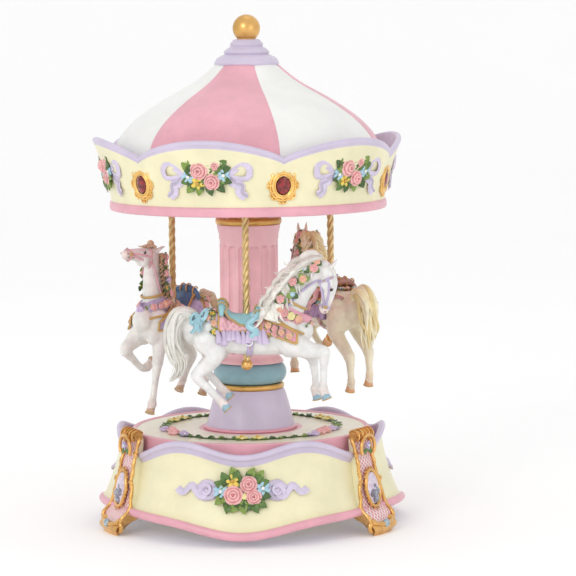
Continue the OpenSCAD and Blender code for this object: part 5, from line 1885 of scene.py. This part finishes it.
def drape(horse, bm, style, s):
    """On one side: a dozen soft folds that hang from under the blanket's hem, with painted shade at their
    tops under the hem.
    """
    for k in range(12):
        x = -17 + k * 2.6
        fall = 107 + 6 * math.sin(1.3 * k) - DRAPE_TOP
        run = [
            horse.on_trunk(x + 0.8 * math.sin(2 * u + k), s * (DRAPE_TOP + fall * u), 1.6 + 1.1 * u)[0]
            for u in DROPS
        ]
        fuller = 1.6 + 0.3 * (k % 2)
        # Painted shade: each fold is darkest at its top under the hem and a little lighter at its foot.
        tube(
            bm, run, lambda t: fuller * (0.7 + 0.6 * t), 9, 0.8,
            tint=lambda t: tuple(c * (0.85 + 0.2 * t) for c in style["drape"]),
        )


def chest_panel(horse, bm, style, s, dice):
    """On one side: the gold-rimmed panel from shoulder to chest, with its roses."""
    patch(
        bm, lambda x, v: horse.on_trunk(x, s * v, 1.5)[0], (9, 30),
        lambda x: (30 + 52 * (x - 9) / 21, 78 + 32 * (x - 9) / 21), lambda x, v: style["chest"],
        (24, 18), 0.6, (0.75, GOLD_TINT),
    )
    for x, v, kind in ((13.5, 60, 0), (17.5, 70, 1), (21.5, 80, 3), (17.5, 84, 4), (25.5, 90, 0)):
        p, n = horse.on_trunk(x, s * v, 2.4)
        stamp_rose(bm, spot_on(p, n, x), 2.1, style["flowers"][kind])
        for turn_deg in (30, 200):
            stamp_leaf(bm, spot_on(p, n, math.radians(turn_deg)), 3.1, dice.choice(GREENS))


COLLAR_T = 0.15


def harness(horse, bm, style):
    """Wide collar, straps to the rump, reins and bridle."""
    leather = style["bridle"]
    for t, width, tint in ((COLLAR_T, 8.6, style["chest"]), (0.04, 1.5, GOLD_TINT), (0.26, 1.5, GOLD_TINT)):
        strap(bm, [horse.on_limb("neck", t, v, 1.0) for v in range(-180, 181, 12)], width, tint, 0.5)
    for s in (-1, 1):
        back = [horse.on_trunk(-16 - i * 1.5, s * (62 - i * 3), 0.9) for i in range(9)]
        strap(bm, back, 2.4, leather)
        studs(bm, back, 2, 0.55, GOLD_TINT)
        rein = [horse.on_limb("head", 0.86, s * 90, 0.6)]
        rein += [horse.on_limb("neck", 0.88 - i * 0.085, s * (150 - i * 8), 0.7) for i in range(1, 9)]
        rein.append(horse.on_trunk(12, s * 30, 3.4))
        strap(bm, rein, 1.3, leather, 0.4)
    for t in (0.84, 0.2):
        loop = [horse.on_limb("head", t, v, 0.45) for v in range(-180, 181, 15)]
        strap(bm, loop, 1.5, leather, 0.4)
        studs(bm, loop, 4, 0.55, GOLD_TINT)
    for s in (-1, 1):
        cheek = [horse.on_limb("head", 0.2 + 0.64 * i / 6, s * (88 + 14 * i / 6), 0.45) for i in range(7)]
        strap(bm, cheek, 1.3, leather, 0.4)
        ball(bm, horse.on_limb("head", 0.84, s * 95, 0.8)[0], 1.0, detail=(10, 6), tint=GOLD_TINT)


def collar_roses(horse, bm, style, dice):
    """Nine roses round the collar, each with two leaves."""
    for i in range(9):
        v = 56 + i * 31
        p, n = horse.on_limb("neck", COLLAR_T, v, 1.7)
        stamp_rose(bm, spot_on(p, n, dice.uniform(0, 6)), dice.uniform(2.3, 2.8), style["flowers"][i % 5])
        p, n = horse.on_limb("neck", COLLAR_T, v + 15, 1.4)
        for turn_deg in (20, 200):
            stamp_leaf(bm, spot_on(p, n, math.radians(turn_deg)), 3.4, dice.choice(GREENS))


def tack(horse, bm, dice):
    """Blankets, saddle, girth, scarves, drapes, chest panels, harness and collar roses."""
    style = STYLES[horse.k]
    blankets(horse, bm, style)
    saddle(horse, bm, style)
    girth = [horse.on_trunk(1 + 2 * math.sin(math.radians(v)), v, 0.9) for v in range(70, 291, 10)]
    strap(bm, girth, 3.6, style["bridle"])
    studs(bm, girth, 3, 0.6, GOLD_TINT)
    for s in (-1, 1):
        scarf_and_stirrup(horse, bm, style, s)
        drape(horse, bm, style, s)
        chest_panel(horse, bm, style, s, dice)
    harness(horse, bm, style)
    collar_roses(horse, bm, style, dice)


def garland(horse, bm, dice):
    """Roses and leaves down the mane, behind the ears and behind the saddle, with a bow on the rump."""
    style = STYLES[horse.k]
    mane_spots = ((0.95, 40), (0.82, 62), (0.7, 40), (0.58, 70), (0.46, 48), (0.34, 78), (0.24, 50))
    for n, (t, v) in enumerate(mane_spots):
        for s in (1, -1):
            place = spot_on(*horse.on_limb("neck", t, s * v, 4.2), dice.uniform(0, 6))
            if n % 3 == 2:
                stamp_daisy(bm, place, 1.9, "blue" if horse.k == 0 else "yellow")
            else:
                stamp_rose(bm, place, dice.uniform(2.3, 2.9), style["flowers"][n % 5])
            for turn_deg in (40, 160, 280):
                stamp_leaf(bm, place @ turned(turn_deg), 4.2, dice.choice(GREENS))
    rump_spots = ((-18.5, 8), (-19.5, 34), (-18.5, 58), (-21.5, 20), (-22, 46), (-18.5, 78))
    for n, (x, v) in enumerate(rump_spots):
        for s in (1, -1):
            place = spot_on(*horse.on_trunk(x, s * v, 1.3), dice.uniform(0, 6))
            if n % 2:
                stamp_daisy(bm, place, 1.9, "yellow" if n % 4 == 1 else "blue")
            else:
                stamp_rose(bm, place, 2.1, style["flowers"][(n + 1) % 5])
            for turn_deg in (0, 120, 240):
                stamp_leaf(bm, place @ turned(turn_deg), 2.9, dice.choice(GREENS))
    place = spot_on(*horse.on_trunk(-26, 42, 1.2), 0.4)
    for s in (-1, 1):
        side = place @ Matrix.Diagonal((s, 1, 1, 1))
        tail_end = [(0, 0, 0.6), (2.0, -3.5, 1.2), (1.4, -7, 0.9), (3.4, -10, 1.2)]
        bow_side(bm, side, 6.4, 4.2, style["scarf"], tail_end)
    ball(bm, (0, 0, 0.9), 1.0, (1, 1, 0.8), place, (10, 6), tint=style["scarf"])


def build_horses():
    """Three horses, each a skin, its hair, and its tack with flowers."""
    for k in range(3):
        horse = Horse(k)
        body = f"horse_set_{k + 1}"
        dice = random.Random(40 + k)
        build_body(horse)
        paint_body(horse)
        parts = {"hair": small_parts(lambda bm: (mane(horse, bm, dice), tail(horse, bm, dice)))}
        parts["tack"] = small_parts(lambda bm: tack(horse, bm, dice))
        parts["flowers"] = small_parts(lambda bm: garland(horse, bm, dice))
        parts["hooves"] = small_parts(lambda bm: (hooves(horse, bm), eyes_and_nostrils(horse, bm)))
        bmesh.ops.transform(horse.skin, matrix=horse.place, verts=horse.skin.verts)
        # The third number of each tinted paint sets how dark its painted shade in the hollows goes.
        skin_paint = tinted("pearl_skin", 0.36, 0.45, 0.72, 0.12)
        piece(horse.skin, f"horse_skin_{k + 1}", [skin_paint], body, [f"horse_{k + 1}"], 70)
        for name, bm in parts.items():
            bmesh.ops.transform(bm, matrix=horse.place, verts=bm.verts)
            finish = tinted("hair_paint", 0.4, 0.3, 0.38) if name == "hair" else tinted(
                "tack_paint", 0.36, 0.35, 0.42,
            )
            piece(bm, f"horse_{name}_{k + 1}", [finish], body, sharp=50)


# ---------- hidden works: the CAD's own pieces, given their metals and boards ----------


@made_once
def fibre_board(name):
    """Plain fibre board with a faint grain."""
    m, tree, shader = shader_tree(name)
    grain = noise(tree, 220.0, 8.0, 0.75)
    tint = mix(tree, stretched(tree, grain, 0.3, 0.7, 0, 1), (0.42, 0.28, 0.15), (0.6, 0.44, 0.26))
    tree.links.new(tint, shader.inputs["Base Color"])
    constants(shader, Roughness=0.8)
    bumped(tree, shader, grain, 0.25)
    return m


def finish_cad_nodes():
    """Gives every CAD node a procedural finish by the kind of part it is."""
    finishes = {
        "steel": lambda: steel("bright_steel", (0.62, 0.62, 0.63)),
        "brass": lambda: steel("machined_brass", (0.72, 0.5, 0.2), 0.3),
        "bronze": lambda: steel("oiled_bronze", (0.36, 0.2, 0.09), 0.4),
        "bedplate": lambda: steel("zinc_plate", (0.5, 0.48, 0.4), 0.42, 0.9, 600.0),
        "spring_steel": lambda: steel("blued_spring", (0.16, 0.2, 0.28), 0.3),
        "cover": lambda: resin("bottom_card", (0.7, 0.62, 0.48), rough=0.65, mottle=0.08, coat=0.0),
        "board": lambda: fibre_board("board"),
        "deck_resin": pink_paint,
    }
    for part in frame["record"]["subparts"]:
        mesh = frame["nodes"][part["node"]].data
        finish = finishes.get(part["material_slot"], cream_paint)()
        mesh.materials.clear()
        mesh.materials.append(finish)


# ---------- stage ----------


@made_once
def flat_paint(name, rgb, rough, glow):
    """Matt white with a faint glow, for the floor."""
    m, tree, shader = shader_tree(name)
    shade = tuple(c * 0.985 for c in rgb)
    tree.links.new(
        mix(tree, stretched(tree, noise(tree, 3.0), 0.3, 0.7, 0, 1), shade, rgb), shader.inputs["Base Color"]
    )
    constants(
        shader, Roughness=rough, Specular_IOR_Level=0.1, Emission_Color=(1, 1, 1, 1), Emission_Strength=glow
    )
    return m


def area_light(name, place, target, size, watts):
    """A soft round lamp that looks at a target."""
    lamp = bpy.data.lights.new(name, "AREA")
    lamp.shape = "DISK"
    lamp.size = size
    lamp.energy = watts
    made = bpy.data.objects.new(name, lamp)
    made.location = place
    made.rotation_euler = (Vector(target) - Vector(place)).to_track_quat("-Z", "Y").to_euler()
    bpy.context.collection.objects.link(made)


CAMERA_FROM, CAMERA_AIM, CAMERA_ROLL = (23.8, -1586.0, 300.0), (23.8, 0.0, 143.0), -0.55


def build_stage():
    """Pale floor that curves up behind, three soft lights, a white surround and the camera."""
    bm = bmesh.new()
    sweep = [(-3.0, 0.0), (2.2, 0.0)]
    sweep += [(2.2 + math.sin(math.radians(d)), 1 - math.cos(math.radians(d))) for d in range(6, 91, 6)]
    sweep += [(3.2, 4.0)]
    row = [bm.verts.new((-4, y, z)) for y, z in sweep]
    edges = [bm.edges.new(pair) for pair in zip(row, row[1:])]
    moved = bmesh.ops.extrude_edge_only(bm, edges=edges)["geom"]
    bmesh.ops.translate(bm, vec=(8, 0, 0), verts=[v for v in moved if isinstance(v, bmesh.types.BMVert)])
    bmesh.ops.recalc_face_normals(bm, faces=bm.faces)
    mesh = bpy.data.meshes.new("studio_floor")
    bm.to_mesh(mesh)
    bm.free()
    mesh.materials.append(flat_paint("studio_white", (0.93, 0.93, 0.93), 0.9, 0.12))
    mesh.shade_smooth()
    floor = bpy.data.objects.new("studio_floor", mesh)
    bpy.context.collection.objects.link(floor)
    area_light("key_light", (-0.9, -1.7, 0.95), (0, 0, 0.15), 0.9, 8)
    area_light("fill_light", (1.3, -1.5, 0.5), (0, 0, 0.15), 1.2, 3)
    area_light("top_light", (0.1, 0.3, 1.9), (0, 0, 0.1), 1.0, 1.5)
    surround = bpy.data.worlds.new("white_surround")
    surround.use_nodes = True
    surround.node_tree.nodes["Background"].inputs["Color"].default_value = (1, 1, 1, 1)
    surround.node_tree.nodes["Background"].inputs["Strength"].default_value = 0.86
    bpy.context.scene.world = surround
    bpy.context.scene.view_settings.view_transform = "Standard"
    lens = bpy.data.cameras.new("studio_camera")
    lens.lens = 162.5
    lens.sensor_width = 36
    lens.clip_end = 20
    seen_from, aim = Vector(CAMERA_FROM) * MM, Vector(CAMERA_AIM) * MM
    eye = bpy.data.objects.new("studio_camera", lens)
    eye.location = seen_from
    level = (aim - seen_from).to_track_quat("-Z", "Y").to_matrix().to_4x4()
    eye.rotation_euler = (level @ turned(CAMERA_ROLL)).to_euler()
    bpy.context.collection.objects.link(eye)
    bpy.context.scene.camera = eye


# ---------- operators and panel ----------


class CAROUSEL_OT_works(bpy.types.Operator):
    """Finish the hidden works: shafts, gears, spring, cylinder, comb, boards and covers"""

    bl_idname = "carousel.works"
    bl_label = "Works"

    def execute(self, context):
        finish_cad_nodes()
        return {"FINISHED"}


class CAROUSEL_OT_base_casting(bpy.types.Operator):
    """Add the three-sided base with its foot band and waving rim"""

    bl_idname = "carousel.base_casting"
    bl_label = "Base Casting"

    def execute(self, context):
        build_base_shell()
        return {"FINISHED"}


class CAROUSEL_OT_deck(bpy.types.Operator):
    """Add the round deck and the garland painted on it"""

    bl_idname = "carousel.deck"
    bl_label = "Deck"

    def execute(self, context):
        build_deck()
        build_garland()
        return {"FINISHED"}


class CAROUSEL_OT_base_bouquets(bpy.types.Operator):
    """Add the bouquets and ribbons on the base's sides"""

    bl_idname = "carousel.base_bouquets"
    bl_label = "Base Bouquets"

    def execute(self, context):
        build_base_bouquets()
        return {"FINISHED"}


class CAROUSEL_OT_corner_feet(bpy.types.Operator):
    """Add the three gilded corner feet with their stones and flowers"""

    bl_idname = "carousel.corner_feet"
    bl_label = "Corner Feet"

    def execute(self, context):
        build_corner_feet()
        build_corner_stones()
        return {"FINISHED"}


class CAROUSEL_OT_column(bpy.types.Operator):
    """Add the bell, the rings and the fluted shaft"""

    bl_idname = "carousel.column"
    bl_label = "Column"

    def execute(self, context):
        build_column()
        build_shaft()
        return {"FINISHED"}


class CAROUSEL_OT_canopy_wall(bpy.types.Operator):
    """Add the scalloped canopy wall"""

    bl_idname = "carousel.canopy_wall"
    bl_label = "Canopy Wall"

    def execute(self, context):
        build_valance()
        return {"FINISHED"}


class CAROUSEL_OT_roof(bpy.types.Operator):
    """Add the striped tent roof"""

    bl_idname = "carousel.roof"
    bl_label = "Roof"

    def execute(self, context):
        build_roof()
        return {"FINISHED"}


class CAROUSEL_OT_finial(bpy.types.Operator):
    """Add the stepped cap and the gold ball"""

    bl_idname = "carousel.finial"
    bl_label = "Finial"

    def execute(self, context):
        build_finial()
        return {"FINISHED"}


class CAROUSEL_OT_medallions(bpy.types.Operator):
    """Add the six scrolled medallions with red stones"""

    bl_idname = "carousel.medallions"
    bl_label = "Medallions"

    def execute(self, context):
        build_medallions()
        return {"FINISHED"}


class CAROUSEL_OT_canopy_bouquets(bpy.types.Operator):
    """Add the six bouquets with ribbon bows"""

    bl_idname = "carousel.canopy_bouquets"
    bl_label = "Canopy Bouquets"

    def execute(self, context):
        build_canopy_bouquets()
        return {"FINISHED"}


class CAROUSEL_OT_poles(bpy.types.Operator):
    """Add the three twisted poles with their ball nuts"""

    bl_idname = "carousel.poles"
    bl_label = "Poles"

    def execute(self, context):
        for k in range(3):
            build_pole(k)
        return {"FINISHED"}


class CAROUSEL_OT_horses(bpy.types.Operator):
    """Add the three prancing horses with their manes, tack and saddles"""

    bl_idname = "carousel.horses"
    bl_label = "Horses"

    def execute(self, context):
        build_horses()
        return {"FINISHED"}


class CAROUSEL_OT_stage(bpy.types.Operator):
    """Add the pale floor, the soft lights and the camera"""

    bl_idname = "carousel.stage"
    bl_label = "Stage"

    def execute(self, context):
        build_stage()
        return {"FINISHED"}


STEPS = (
    CAROUSEL_OT_works, CAROUSEL_OT_base_casting, CAROUSEL_OT_deck, CAROUSEL_OT_base_bouquets,
    CAROUSEL_OT_corner_feet, CAROUSEL_OT_column, CAROUSEL_OT_canopy_wall, CAROUSEL_OT_roof,
    CAROUSEL_OT_finial, CAROUSEL_OT_medallions, CAROUSEL_OT_canopy_bouquets, CAROUSEL_OT_poles,
    CAROUSEL_OT_horses, CAROUSEL_OT_stage,
)


class CAROUSEL_PT_main(bpy.types.Panel):
    """Sizes, colours and the pieces in the order they are added"""

    bl_label = "Carousel Music Box"
    bl_idname = "CAROUSEL_PT_main"
    bl_space_type = "VIEW_3D"
    bl_region_type = "UI"
    bl_category = "Carousel"

    def draw(self, context):
        chosen = context.scene.carousel
        for heading_text, group in (
            ("Paint", chosen.paint), ("Base", chosen.base), ("Canopy", chosen.canopy),
        ):
            box = self.layout.box()
            box.label(text=heading_text)
            for key in group.__annotations__:
                box.prop(group, key)
        for step in STEPS:
            self.layout.operator(step.bl_idname)


CLASSES = (PaintColours, BaseSizes, CanopySizes, CarouselSettings, *STEPS, CAROUSEL_PT_main)


def register():
    for cls in CLASSES:
        bpy.utils.register_class(cls)
    bpy.types.Scene.carousel = bpy.props.PointerProperty(type=CarouselSettings)


def unregister():
    del bpy.types.Scene.carousel
    for cls in reversed(CLASSES):
        bpy.utils.unregister_class(cls)


def main():
    register()
    for step in STEPS:
        group, name = step.bl_idname.split(".")
        getattr(getattr(bpy.ops, group), name)()
    bpy.context.view_layer.update()


if __name__ == "__main__":
    main()
